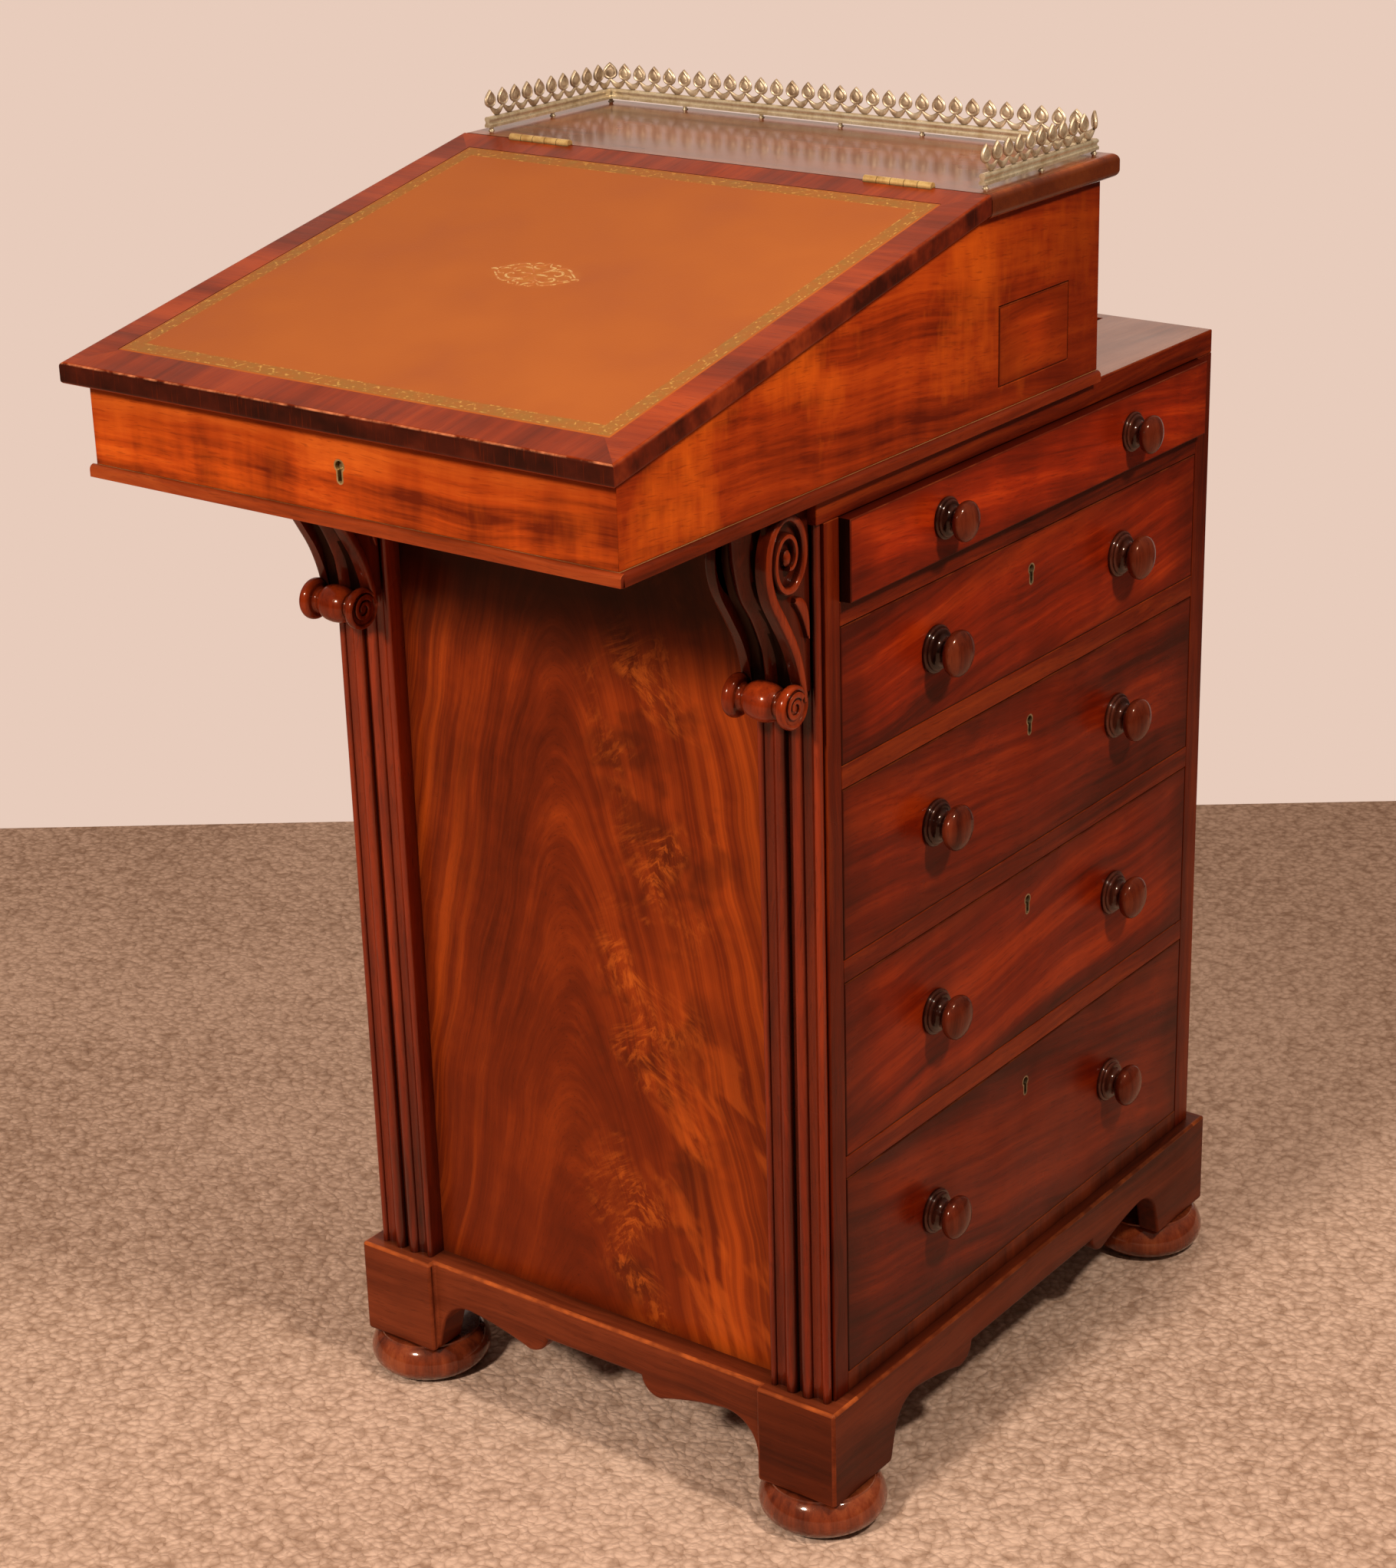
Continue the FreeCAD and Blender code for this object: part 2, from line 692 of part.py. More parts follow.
def drawer(number):
    """A pedestal drawer: front, box of four boards, two knobs and, below the top one, a lock."""
    face = "half_width + top_drawer_ajar" if number == 1 else "half_width"
    inner = f"{face} - drawer_front_thickness"
    rear = f"{face} - drawer_length"
    low = f"opening_{number}_low + running_gap"
    high = f"opening_{number}_high - drawer_gap"
    wall_high = f"opening_{number}_high - drawer_headroom"
    left, right = "opening_front + drawer_gap", "opening_back - drawer_gap"
    label = f"drawer_{number}"
    front = slab(f"{label}_board", (inner, face), (left, right), (low, high))
    if number > 1:
        middle = size("opening_middle")
        up = size(f"opening_{number}_high") - size("keyhole_drop")
        hole = prism(f"{label}_keyhole", "YZ", keyhole_path(middle, up, 0),
                     "half_width - keyhole_depth", "half_width + keyhole_depth")
        front = cut(f"{label}_front", front, [hole])
        rim = prism(f"{label}_rim", "YZ", keyhole_path(middle, up, 0),
                    "half_width - keyhole_depth", "half_width")
        core = prism(f"{label}_core", "YZ", keyhole_path(middle, up, size("keyhole_rim")),
                     "half_width - keyhole_depth / 2", "half_width + keyhole_depth")
        case = slab(f"{label}_lock_case", (f"{inner} - lock_thickness", inner),
                    ("opening_middle - lock_width / 2", "opening_middle + lock_width / 2"),
                    (f"{high} - lock_height", high))
        node(group(f"{label}_lock", [cut(f"{label}_escutcheon", rim, [core]), case]))
    else:
        front.Label = f"{label}_front"
    node(front)
    bottom = f"{low} + drawer_bottom_rise"
    between = (f"{left} + drawer_wall", f"{right} - drawer_wall")
    boards = [
        slab(f"{label}_side_front", (rear, inner), (left, between[0]), (low, wall_high)),
        slab(f"{label}_side_back", (rear, inner), (between[1], right), (low, wall_high)),
        slab(f"{label}_end", (rear, f"{rear} + drawer_wall"), between, (low, wall_high)),
        slab(f"{label}_bottom", (f"{rear} + drawer_wall", inner), between,
             (bottom, f"{bottom} + drawer_bottom_thickness")),
    ]
    node(group(f"{label}_carcase", boards))
    knobs = [
        knob(f"{label}_knob_{end}", radius_name, "x", (face, along, up))
        for end, radius_name, along, up in knob_spots(number)
    ]
    node(group(f"{label}_knobs", knobs))


def left_side():
    """The left side, dressed with dummy drawer fronts and knobs to match the right."""
    panel = slab("left_side_board", ("-half_width", "-side_inner"), ("stile_front", "carcase_back"),
                 ("plinth_top", "deck_low"))
    recesses, fronts, knobs = [], [], []
    for number in range(1, 6):
        inside = ("-half_width - dummy_thickness", "dummy_thickness - half_width")
        recesses.append(slab(f"dummy_recess_{number}", inside, ("opening_front", "opening_back"),
                             (f"opening_{number}_low", f"opening_{number}_high")))
        fronts.append(slab(f"dummy_front_{number}", ("-half_width", inside[1]),
                           ("opening_front + drawer_gap", "opening_back - drawer_gap"),
                           (f"opening_{number}_low + drawer_gap", f"opening_{number}_high - drawer_gap")))
        for end, radius_name, along, up in knob_spots(number):
            knobs.append(knob(f"dummy_knob_{number}_{end}", radius_name, "-x", ("-half_width", along, up)))
    node(cut("left_side_panel", panel, recesses))
    node(group("dummy_drawer_fronts", fronts))
    node(group("dummy_drawer_knobs", knobs))


# Writing box


def box_walls():
    depth = ("box_front_face", "box_back_face")
    across = ("-box_inner", "box_inner")
    node(slab("box_floor", ("-box_half", "box_half"), depth, ("box_base", "floor_top")))
    node(slab("box_back", across, ("box_back_inner", "box_back_face"), ("floor_top", "top_low")))
    face, low, slope = size("box_front_face"), size("floor_top"), size("lid_slope")
    shoulder = face + (size("top_low") - size("front_top")) / slope
    edges = path(
        (face, low),
        (size("box_back_face"), low),
        (size("box_back_face"), size("top_low")),
        (shoulder, size("top_low")),
        (face, size("front_top")),
    )
    node(prism("box_left_side", "YZ", edges, "-box_half", "-box_inner"))
    right = prism("box_right_wall", "YZ", edges, "box_inner", "box_half")
    opening = slab("pen_opening", ("box_inner - box_wall", "box_half + box_wall"), ("pen_front", "pen_back"),
                   ("pen_low", "pen_high"))
    node(cut("box_right_side", right, [opening]))
    board = slab("box_front_board", across, ("box_front_face", "box_front_inner"), ("floor_top", "front_top"))
    up = size("box_base") + size("box_keyhole_rise")
    hole = prism("box_keyhole", "XZ", keyhole_path(0, up, 0),
                 "box_front_face - keyhole_depth", "box_front_face + keyhole_depth")
    node(cut("box_front", board, [hole]))
    rim = prism("box_rim", "XZ", keyhole_path(0, up, 0), "box_front_face", "box_front_face + keyhole_depth")
    core = prism("box_core", "XZ", keyhole_path(0, up, size("keyhole_rim")),
                 "box_front_face - keyhole_depth", "box_front_face + keyhole_depth / 2")
    case = slab("box_lock_case", ("-lock_width / 2", "lock_width / 2"),
                ("box_front_inner", "box_front_inner + lock_thickness"),
                ("front_top - lock_height", "front_top"))
    node(group("box_lock", [cut("box_escutcheon", rim, [core]), case]))


def box_moulding():
    """Three strips round the foot of the box, each with a rounded upper edge."""
    out = size("moulding_projection")
    low, high = size("box_base"), size("floor_top")
    along, across = ARC_MIDDLE_SHARES

    def section(face, hand):
        edge = face + hand * out
        middle = face + hand * out * across, high - out * along
        return path((face, low), (edge, low), (edge, high - out), (middle, (face, high)))

    strips = [
        prism("moulding_front", "YZ", section(size("box_front_face"), -1),
              "-box_half - moulding_projection", "box_half + moulding_projection"),
        prism("moulding_left", "XZ", section(-size("box_half"), -1), "box_front_face", "box_back_face"),
        prism("moulding_right", "XZ", section(size("box_half"), 1), "box_front_face", "box_back_face"),
    ]
    node(group("box_moulding", strips))


def battens():
    pieces = []
    for side, hand in (("left", -1), ("right", 1)):
        edges = batten_path(hand, 0, size("box_base"))
        pieces.append(prism(f"batten_{side}", "XZ", edges,
                            "groove_front + batten_gap", "groove_back - slide_travel - batten_gap"))
    node(group("slide_battens", pieces))


def rounded(label, base, radius_name, chosen):
    """A board with its chosen edges rounded."""
    doc.recompute()
    result = doc.addObject("Part::Fillet", label)
    result.Base = base
    limit = size(radius_name)
    result.Edges = [
        (number, limit, limit) for number, edge in enumerate(base.Shape.Edges, start=1) if chosen(edge)
    ]
    return result


def at_plane(edge, axis, place):
    """Whether a straight edge lies in a plane square to an axis."""
    return all(math.isclose(getattr(corner, axis), place) for corner in edge.Vertexes)


def flat_top():
    board = slab("top_board", ("-top_half", "top_half"), ("hinge_line", "top_back"), ("top_low", "top_level"))
    outer = (("X", -size("top_half")), ("X", size("top_half")), ("Y", size("top_back")))

    def long_outer_edge(edge):
        level = any(at_plane(edge, "Z", size(name)) for name in ("top_low", "top_level"))
        return level and any(at_plane(edge, axis, place) for axis, place in outer)

    soft = rounded("top_rounded", board, "top_rounding", long_outer_edge)
    node(cut("box_flat_top", soft, hinge_seats("top", "hinge_line", "hinge_line + hinge_leaf")))


def hinge_seats(owner, leaf_front, leaf_back):
    """Shallow cuts for the hinge leaves and their knuckles in the edge of the lid or the top."""
    seats = []
    for side, sign in (("left", "-"), ("right", "")):
        centre = f"{sign}hinge_spacing / 2"
        span = (f"{centre} - hinge_length / 2", f"{centre} + hinge_length / 2")
        seats.append(slab(f"{owner}_leaf_seat_{side}", span, (leaf_front, leaf_back),
                          ("leaf_low", "top_level")))
        reach = "(knuckle_radius + knuckle_clearance)"
        seats.append(slab(f"{owner}_knuckle_seat_{side}", span,
                          (f"hinge_axis_y - {reach}", f"hinge_axis_y + {reach}"),
                          ("leaf_high", f"top_level + {reach}")))
    return seats


def lid_path(front, back, upper, lower):
    """A slice of the lid between two places, at depths below its upper face."""
    def height(y, depth):
        return size("top_level") - size("lid_slope") * (size("hinge_line") - y) - depth

    return path((front, height(front, upper)), (front, height(front, lower)),
                (back, height(back, lower)), (back, height(back, upper)))


def lid():
    thickness = size("lid_thickness")
    slab_edges = lid_path(size("lid_front"), size("lid_back"), 0, thickness)
    board = prism("lid_board", "YZ", slab_edges, "-top_half", "top_half")

    def outer_edge(edge):
        box = edge.BoundBox
        side = any(at_plane(edge, "X", sign * size("top_half")) for sign in (-1, 1))
        front = at_plane(edge, "Y", size("lid_front"))
        return (side and box.YLength > thickness) or (front and box.XLength > thickness)

    soft = rounded("lid_rounded", board, "lid_rounding", outer_edge)
    front = size("lid_front") + size("border_front")
    back = size("hinge_line") - size("border_back")
    sheet_edges = lid_path(front, back, 0, size("leather_thickness"))
    recess_edges = lid_path(front, back, -size("leather_thickness"), size("leather_thickness"))
    across = ("border_side - top_half", "top_half - border_side")
    recess = prism("leather_recess", "YZ", recess_edges, *across)
    node(prism("writing_leather", "YZ", sheet_edges, *across))
    strike_back = size("box_front_inner") + size("strike_width")
    strike = (size("box_front_inner"), strike_back, thickness - size("strike_thickness"))
    plate = lid_path(*strike, thickness)
    pocket = lid_path(*strike, thickness + size("strike_thickness"))
    length = ("-strike_length / 2", "strike_length / 2")
    node(prism("lid_strike_plate", "YZ", plate, *length))
    seats = hinge_seats("lid", "lid_back - hinge_leaf", "lid_back")
    node(cut("lid_frame", soft, [recess, prism("strike_pocket", "YZ", pocket, *length)] + seats))


def hinge_leaf(label, centre, plate, knuckles):
    """One leaf of a butt hinge with its share of the knuckles, bored for the pin."""
    step = f"hinge_length / {HINGE_KNUCKLES}"
    start = f"{centre} - hinge_length / 2"
    pieces = [slab(f"{label}_plate", (start, f"{start} + hinge_length"), plate, ("leaf_low", "leaf_high"))]
    for number in knuckles:
        gap = "knuckle_clearance / 2"
        low = f"{start} + {number} * {step} + {gap}"
        high = f"{start} + {number + 1} * {step} - {gap}"
        pieces.append(slab(f"{label}_tab_{number}", (low, high), plate, ("leaf_high", "hinge_axis_z")))
        barrel = circle_path((size("hinge_axis_y"), size("hinge_axis_z")), size("knuckle_radius"))
        pieces.append(prism(f"{label}_barrel_{number}", "YZ", barrel, low, high))
    bore_radius = size("hinge_pin_radius") + size("hinge_pin_clearance")
    bore = circle_path((size("hinge_axis_y"), size("hinge_axis_z")), bore_radius)
    hole = prism(f"{label}_bore", "YZ", bore, f"{start} - hinge_leaf", f"{start} + hinge_length + hinge_leaf")
    return cut(label, fuse(f"{label}_body", pieces), [hole])


def hinges():
    box_leaves, lid_leaves, pins = [], [], []
    pin = circle_path((size("hinge_axis_y"), size("hinge_axis_z")), size("hinge_pin_radius"))
    for side, sign in (("left", "-"), ("right", "")):
        centre = f"{sign}hinge_spacing / 2"
        box_leaves.append(hinge_leaf(f"box_leaf_{side}", centre, ("hinge_line", "hinge_line + hinge_leaf"),
                                     range(0, HINGE_KNUCKLES, 2)))
        lid_leaves.append(hinge_leaf(f"lid_leaf_{side}", centre, ("lid_back - hinge_leaf", "lid_back"),
                                     range(1, HINGE_KNUCKLES, 2)))
        pins.append(prism(f"hinge_pin_{side}", "YZ", pin, f"{centre} - hinge_length / 2",
                          f"{centre} + hinge_length / 2"))
    node(group("box_hinge_leaves", box_leaves))
    node(group("lid_hinge_leaves", lid_leaves))
    node(group("hinge_pins", pins))


# Gallery


def crest_path(start, count, pitch):
    """Pierced crest of leaf buds linked by round dips, from its foot line up."""
    foot = size("crest_low")
    tall = size("gallery_crest_height")
    half = CREST_SHARES["bud_width"] * pitch / 2
    shoulder = foot + CREST_SHARES["shoulder"] * tall
    dip = foot + CREST_SHARES["dip"] * tall
    tip = foot + tall
    bow = (shoulder + tip) / 2
    steps = []
    for number in range(count + 1):
        centre = start + number * pitch
        steps.append(((centre - half, bow), (centre, tip)))
        steps.append(((centre + half, bow), (centre + half / 2, shoulder)))
        if number < count:
            steps.append(((centre + pitch / 2, dip), (centre + pitch - half / 2, shoulder)))
    first = (start - half / 2, shoulder)
    last = start + count * pitch + half / 2
    edges = path(first, *steps, (last, foot), (start - half / 2, foot))
    eye = CREST_SHARES["eye"] * pitch
    for number in range(count + 1):
        edges += circle_path((start + number * pitch, foot + CREST_SHARES["eye_rise"] * tall), eye)
    return edges


def gallery():
    half_rail = "gallery_rail_thickness / 2"
    rail = ("rail_low", "crest_low")
    left, right = "-gallery_x", "gallery_x"
    across = (f"{left} - {half_rail}", f"{right} + {half_rail}")
    ends = ("gallery_front", f"gallery_y - {half_rail}")
    pieces = [
        slab("rail_back", across, (f"gallery_y - {half_rail}", f"gallery_y + {half_rail}"), rail),
        slab("rail_left", (f"{left} - {half_rail}", f"{left} + {half_rail}"), ends, rail),
        slab("rail_right", (f"{right} - {half_rail}", f"{right} + {half_rail}"), ends, rail),
    ]
    pitch = 2 * size("gallery_x") / CREST_PITCH_COUNT
    length = size("gallery_y") - size("gallery_front")
    side_count = int(length // pitch) - 1
    pins = []
    spots = [(-size("gallery_x") + number * pitch, size("gallery_y"))
             for number in range(0, CREST_PITCH_COUNT + 1, GALLERY_PIN_EVERY)]
    for hand in (-1, 1):
        spots += [(hand * size("gallery_x"), size("gallery_y") - number * pitch)
                  for number in range(GALLERY_PIN_EVERY, side_count + 2, GALLERY_PIN_EVERY)]
    for number, (x, y) in enumerate(spots):
        pin = doc.addObject("Part::Cylinder", f"gallery_pin_{number}")
        pin.setExpression("Radius", bound("gallery_pin_radius"))
        pin.setExpression("Height", bound("gallery_pin_height"))
        pin.Placement.Base = Vector(x, y, 0)
        pin.setExpression("Placement.Base.z", bound("top_level"))
        pins.append(pin)
    node(group("gallery_rail", pieces + pins))
    thick = "gallery_crest_thickness / 2"
    crests = [prism("crest_back", "XZ", crest_path(-size("gallery_x"), CREST_PITCH_COUNT, pitch),
                    f"gallery_y - {thick}", f"gallery_y + {thick}")]
    side_edges = crest_path(size("gallery_y") - (side_count + 1) * pitch, side_count, pitch)
    for side, line in (("left", left), ("right", right)):
        crests.append(prism(f"crest_{side}", "YZ", side_edges, f"{line} - {thick}", f"{line} + {thick}"))
    node(group("gallery_crest", crests))


# Compartments under the flat top


def partitions():
    depth = ("partition_front", "box_back_inner")
    boards = [
        slab("upright", ("upright_left", "upright_right"), depth, ("floor_top", "top_low")),
        slab("pen_screen", ("upright_right", "box_inner"), ("partition_front", "partition_front + partition"),
             ("floor_top", "top_low")),
        slab("pen_shelf", ("upright_right", "box_inner"), ("partition_front + partition", "box_back_inner"),
             ("pen_low - partition", "pen_low")),
        slab("paper_shelf", ("-box_inner", "upright_left"), depth,
             ("shelf_low", "shelf_low + shelf_thickness")),
    ]
    node(group("compartment_partitions", boards))


def tray(label, x, y, low, high, mouth):
    """Four thin boards of a small drawer, open above and closed by its front at the mouth."""
    upright, base = (low, high), (low, f"{low} + small_bottom")
    x_low, x_high = (x[0], f"{x[0]} + small_wall"), (f"{x[1]} - small_wall", x[1])
    y_low, y_high = (y[0], f"{y[0]} + small_wall"), (f"{y[1]} - small_wall", y[1])
    if mouth == "x":
        inside = (y_low[1], y_high[0])
        boards = [
            slab(f"{label}_wall_a", x, y_low, upright),
            slab(f"{label}_wall_b", x, y_high, upright),
            slab(f"{label}_end", x_low, inside, upright),
            slab(f"{label}_base", (x_low[1], x[1]), inside, base),
        ]
    else:
        inside = (x_low[1], x_high[0])
        boards = [
            slab(f"{label}_wall_a", x_low, y, upright),
            slab(f"{label}_wall_b", x_high, y, upright),
            slab(f"{label}_end", inside, y_high, upright),
            slab(f"{label}_base", inside, (y[0], y_high[0]), base),
        ]
    node(group(label, boards))


def pen_drawer():
    low, high = "pen_low + running_gap", "pen_high - small_gap"
    y = ("pen_front + small_gap", "pen_back - small_gap")
    inner = "box_half - small_front_thickness"
    node(slab("pen_drawer_front", (inner, "box_half"), y, (low, high)))
    tray("pen_drawer_tray", ("box_half - pen_drawer_length", inner), y, low, f"{high} - small_headroom", "x")


def inner_drawer():
    x = ("small_gap - box_inner", "upright_left - small_gap")
    low, high = "floor_top + running_gap", "shelf_low - small_gap"
    inner = "partition_front + small_front_thickness"
    node(slab("inner_drawer_front", x, ("partition_front", inner), (low, high)))
    tray("inner_drawer_tray", x, (inner, "partition_front + inner_drawer_length"), low,
         f"{high} - small_headroom", "y")
    node(knob("inner_drawer_knob", "inner_knob_radius", "-y",
              ("(upright_left - box_inner) / 2", "partition_front", "floor_top + shelf_rise / 2")))


plinth()
pedestal()
deck()
left_side()
for drawer_number in range(1, 6):
    drawer(drawer_number)
box_walls()
box_moulding()
battens()
flat_top()
lid()
hinges()
gallery()
partitions()
pen_drawer()
inner_drawer()
doc.recompute()

for item in doc.Objects:
    if "Invalid" in item.State or "Error" in item.State:
        raise RuntimeError(f"{item.Label} did not build: {item.State}")
for item in nodes:
    if item.Shape.isNull() or not item.Shape.isValid():
        raise RuntimeError(f"{item.Label} has no valid shape")

os.makedirs("parts", exist_ok=True)
for item in nodes:
    item.Shape.exportStep(f"parts/{item.Label}.step")
    solids = item.Shape.Solids
    print(item.Label, len(solids), round(sum(solid.Volume for solid in solids)))
print(len(nodes), "nodes")
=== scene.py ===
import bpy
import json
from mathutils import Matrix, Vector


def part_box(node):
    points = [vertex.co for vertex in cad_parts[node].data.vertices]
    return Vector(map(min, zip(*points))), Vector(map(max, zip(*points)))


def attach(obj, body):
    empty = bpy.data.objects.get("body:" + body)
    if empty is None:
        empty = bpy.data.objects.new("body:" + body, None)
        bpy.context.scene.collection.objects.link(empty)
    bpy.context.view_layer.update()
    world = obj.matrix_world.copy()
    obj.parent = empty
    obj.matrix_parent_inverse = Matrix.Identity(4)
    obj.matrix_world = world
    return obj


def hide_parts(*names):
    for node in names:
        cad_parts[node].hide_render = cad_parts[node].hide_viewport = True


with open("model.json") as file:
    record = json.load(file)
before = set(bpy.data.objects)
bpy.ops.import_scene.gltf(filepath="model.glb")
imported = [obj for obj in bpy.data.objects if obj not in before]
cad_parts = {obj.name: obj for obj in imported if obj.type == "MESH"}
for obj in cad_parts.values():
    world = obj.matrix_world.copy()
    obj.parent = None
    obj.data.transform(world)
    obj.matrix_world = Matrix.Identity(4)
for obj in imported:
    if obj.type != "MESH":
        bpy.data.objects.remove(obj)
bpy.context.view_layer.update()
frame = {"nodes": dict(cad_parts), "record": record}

import json
import math

import bmesh
import bpy
from mathutils import Matrix, Vector, noise

NODES = frame["nodes"]
BODY_OF = {node: body for body, nodes in frame["record"]["behaviour"]["bodies"].items() for node in nodes}
MM = 0.001
AXIS = {"x": 0, "y": 1, "z": 2}


def tone(red, green, blue):
    """A colour from its display values, as the shaders take it."""
    return tuple(((c / 255 + 0.055) / 1.055) ** 2.4 for c in (red, green, blue)) + (1.0,)


RED = (tone(65, 12, 2), tone(120, 28, 3), tone(168, 53, 9))
FRAME = (tone(62, 12, 2), tone(109, 28, 5), tone(148, 52, 11))
SIDE = (tone(88, 20, 3), tone(150, 47, 8), tone(186, 70, 14))
AMBER = (tone(98, 28, 6), tone(176, 65, 14), tone(220, 100, 29))
APRON = (tone(66, 24, 11), tone(98, 38, 17), tone(124, 53, 26))
DARK = (tone(58, 19, 8), tone(86, 30, 12), tone(110, 42, 18))
CARVED = (tone(52, 12, 4), tone(108, 30, 9), tone(144, 47, 15))
# Grime and painted shade for the corbels' hollow.
HOLLOW_GRIME_AND_SHADE = (tone(16, 5, 3), tone(36, 11, 5), tone(70, 22, 9))
BANDING = (tone(94, 27, 4), tone(126, 40, 6), tone(156, 57, 10))
BARRED = (tone(50, 14, 7), tone(92, 28, 12), tone(138, 51, 21))
SMOOTH = (tone(38, 11, 6), tone(60, 18, 9), tone(88, 30, 14))
KNOB = (tone(52, 15, 7), tone(92, 33, 16), tone(118, 50, 26))
# Painted shade for the knobs' roses under their heads.
ROSE_SHADE = (tone(40, 15, 9), tone(74, 30, 18), tone(104, 48, 30))
BUN = (tone(78, 29, 14), tone(124, 52, 25), tone(158, 80, 42))
SCROLL = (tone(60, 15, 5), tone(118, 36, 10), tone(154, 54, 16))
MOULDING = (tone(88, 32, 12), tone(138, 53, 20), tone(170, 78, 32))
MOULDING_SIDE = (tone(66, 20, 7), tone(108, 34, 12), tone(136, 52, 20))
FLAT_TOP = (tone(78, 29, 9), tone(122, 52, 17), tone(152, 74, 27))
DARK_END = (tone(14, 5, 3), tone(26, 9, 5), tone(48, 17, 9))
FLAME = (tone(62, 15, 3), tone(108, 34, 8), tone(156, 58, 14))
HIDE = (tone(153, 75, 26), tone(160, 82, 29), tone(166, 88, 34))
DULL = (tone(98, 48, 29), tone(130, 72, 46), tone(154, 94, 65))
LINING = (tone(100, 62, 34), tone(150, 102, 60), tone(188, 140, 92))
GRIME_AND_SHADE = tone(18, 6, 3)
SHELLAC = (1.0, 0.5, 0.26, 1.0)
WORN = tone(204, 100, 42)
# Rubbed wood and painted highlight along the lid's front arris.
RUBBED_HIGHLIGHT = tone(214, 128, 84)
GLOW = tone(212, 90, 16)


# Shader building

SEED_STEP = (0.731, 1.379, 0.577)


class Graph:
    """The nodes of one material or world, made in the order they feed each other."""

    def __init__(self, owner):
        owner.use_nodes = True
        self.tree = owner.node_tree

    def feed(self, socket, value):
        if isinstance(value, bpy.types.NodeSocket):
            self.tree.links.new(value, socket)
        else:
            socket.default_value = value

    def add(self, kind, inputs=None, **fields):
        node = self.tree.nodes.new("ShaderNode" + kind)
        for field, value in fields.items():
            setattr(node, field, value)
        for key, value in (inputs or {}).items():
            self.feed(node.inputs[key], value)
        return node

    def math(self, operation, *values):
        return self.add("Math", dict(enumerate(values)), operation=operation).outputs[0]

    def times(self, value, *factors):
        for factor in factors:
            value = self.math("MULTIPLY", value, factor)
        return value

    def plus(self, value, factor, more):
        return self.math("MULTIPLY_ADD", value, factor, more)

    def less(self, value, other):
        return self.math("SUBTRACT", value, other)

    def within(self, value, low, high):
        """How far a value lies inside its two limits."""
        return self.math("MINIMUM", self.less(value, low), self.less(high, value))

    def vector(self, operation, *values):
        return self.add("VectorMath", dict(enumerate(values)), operation=operation).outputs[0]

    def coordinates(self, kind):
        return self.add("TexCoord").outputs[kind]

    def split(self, vector):
        return self.add("SeparateXYZ", {0: vector}).outputs

    def join(self, x, y, z):
        return self.add("CombineXYZ", {0: x, 1: y, 2: z}).outputs[0]

    def span(self, value, low, high, start=0.0, end=1.0):
        """The value's course from low to high, laid over start to end and held there."""
        return self.add("MapRange", {0: value, 1: low, 2: high, 3: start, 4: end}).outputs[0]

    def mix(self, share, first, second):
        return self.add("Mix", {0: share, 6: first, 7: second}, data_type="RGBA").outputs[2]

    def choose(self, share, first, second):
        return self.add("Mix", {0: share, 4: first, 5: second}, data_type="VECTOR").outputs[1]

    def noise(self, vector, detail=3.0, roughness=0.55, scale=1.0, output=0):
        inputs = {"Vector": vector, "Scale": scale, "Detail": detail, "Roughness": roughness}
        return self.add("TexNoise", inputs).outputs[output]

    def ramp(self, value, stops):
        node = self.add("ValToRGB", {0: value})
        elements = node.color_ramp.elements
        while len(elements) < len(stops):
            elements.new(0.5)
        for element, (position, colour) in zip(elements, stops):
            element.position = position
            element.color = colour
        return node.outputs[0]

    def warped(self, place, scale, reach):
        wander = self.vector("SUBTRACT", self.noise(place, 2.0, 0.5, scale, 1), (0.5, 0.5, 0.5))
        return self.vector("ADD", place, self.vector("MULTIPLY", wander, (reach,) * 3))

    def stretch(self, place, grain, along, across):
        scale = [across] * 3
        scale[AXIS[grain]] = along
        return self.vector("MULTIPLY", place, scale)


class Finish(Graph):
    """The nodes of one material, from its place on the object to its shader."""

    def __init__(self, name):
        self.material = bpy.data.materials.new(name)
        super().__init__(self.material)
        self.shader = self.tree.nodes["Principled BSDF"]
        self.place = self.coordinates("Object")

    def turned(self, seed, tilt):
        """The surface's own place, moved to another part of the tree and turned."""
        shift = [seed * step for step in SEED_STEP]
        inputs = {"Vector": self.place, "Location": shift, "Rotation": [math.radians(a) for a in tilt]}
        return self.add("Mapping", inputs).outputs[0]

    def facing(self):
        """Which way the surface looks, along x, y and z."""
        return self.split(self.coordinates("Normal"))

    def shadowed(self, reach):
        """How open the surface is, from 0 in a crevice to 1."""
        return self.add("AmbientOcclusion", {"Distance": reach}, samples=3).outputs["AO"]

    def bump(self, height, strength, distance):
        inputs = {"Strength": strength, "Distance": distance, "Height": height}
        return self.add("Bump", inputs).outputs[0]

    def finish(self, **sockets):
        for key, value in sockets.items():
            self.feed(self.shader.inputs[key.replace("_", " ")], value)
        return self.material


# Finishes

WOOD_STOPS = (0.3, 0.5, 0.72)
UPWARD = (0.55, 0.9)


def lighter(colour, factor):
    return tuple(c * factor for c in colour[:3]) + (1.0,)


def shaded(tones, factor):
    """The same wood, lighter or darker as a whole."""
    return [lighter(colour, factor) for colour in tones]


def stained(g, value, tones, stops=WOOD_STOPS):
    """A wood's dark, middle and light tone over its figure."""
    return g.ramp(value, list(zip(stops, tones)))


def grain_of(g, place, grain, band, mottle):
    """The wood's figure, its fine lines and its pores."""
    broad = g.noise(g.stretch(place, grain, 1.6, band), 3)
    fine = g.noise(g.stretch(place, grain, 5, band * 7), 4, 0.65)
    cross = g.noise(g.stretch(place, grain, 34, 8), 3)
    pores = g.span(g.noise(g.stretch(place, grain, 70, 900), 1), 0.6, 0.7)
    value = g.plus(broad, 0.9, 0.5 - 0.5 * (0.9 + 0.5 + mottle))
    value = g.plus(fine, 0.5, value)
    value = g.plus(cross, mottle, value)
    return value, fine, pores


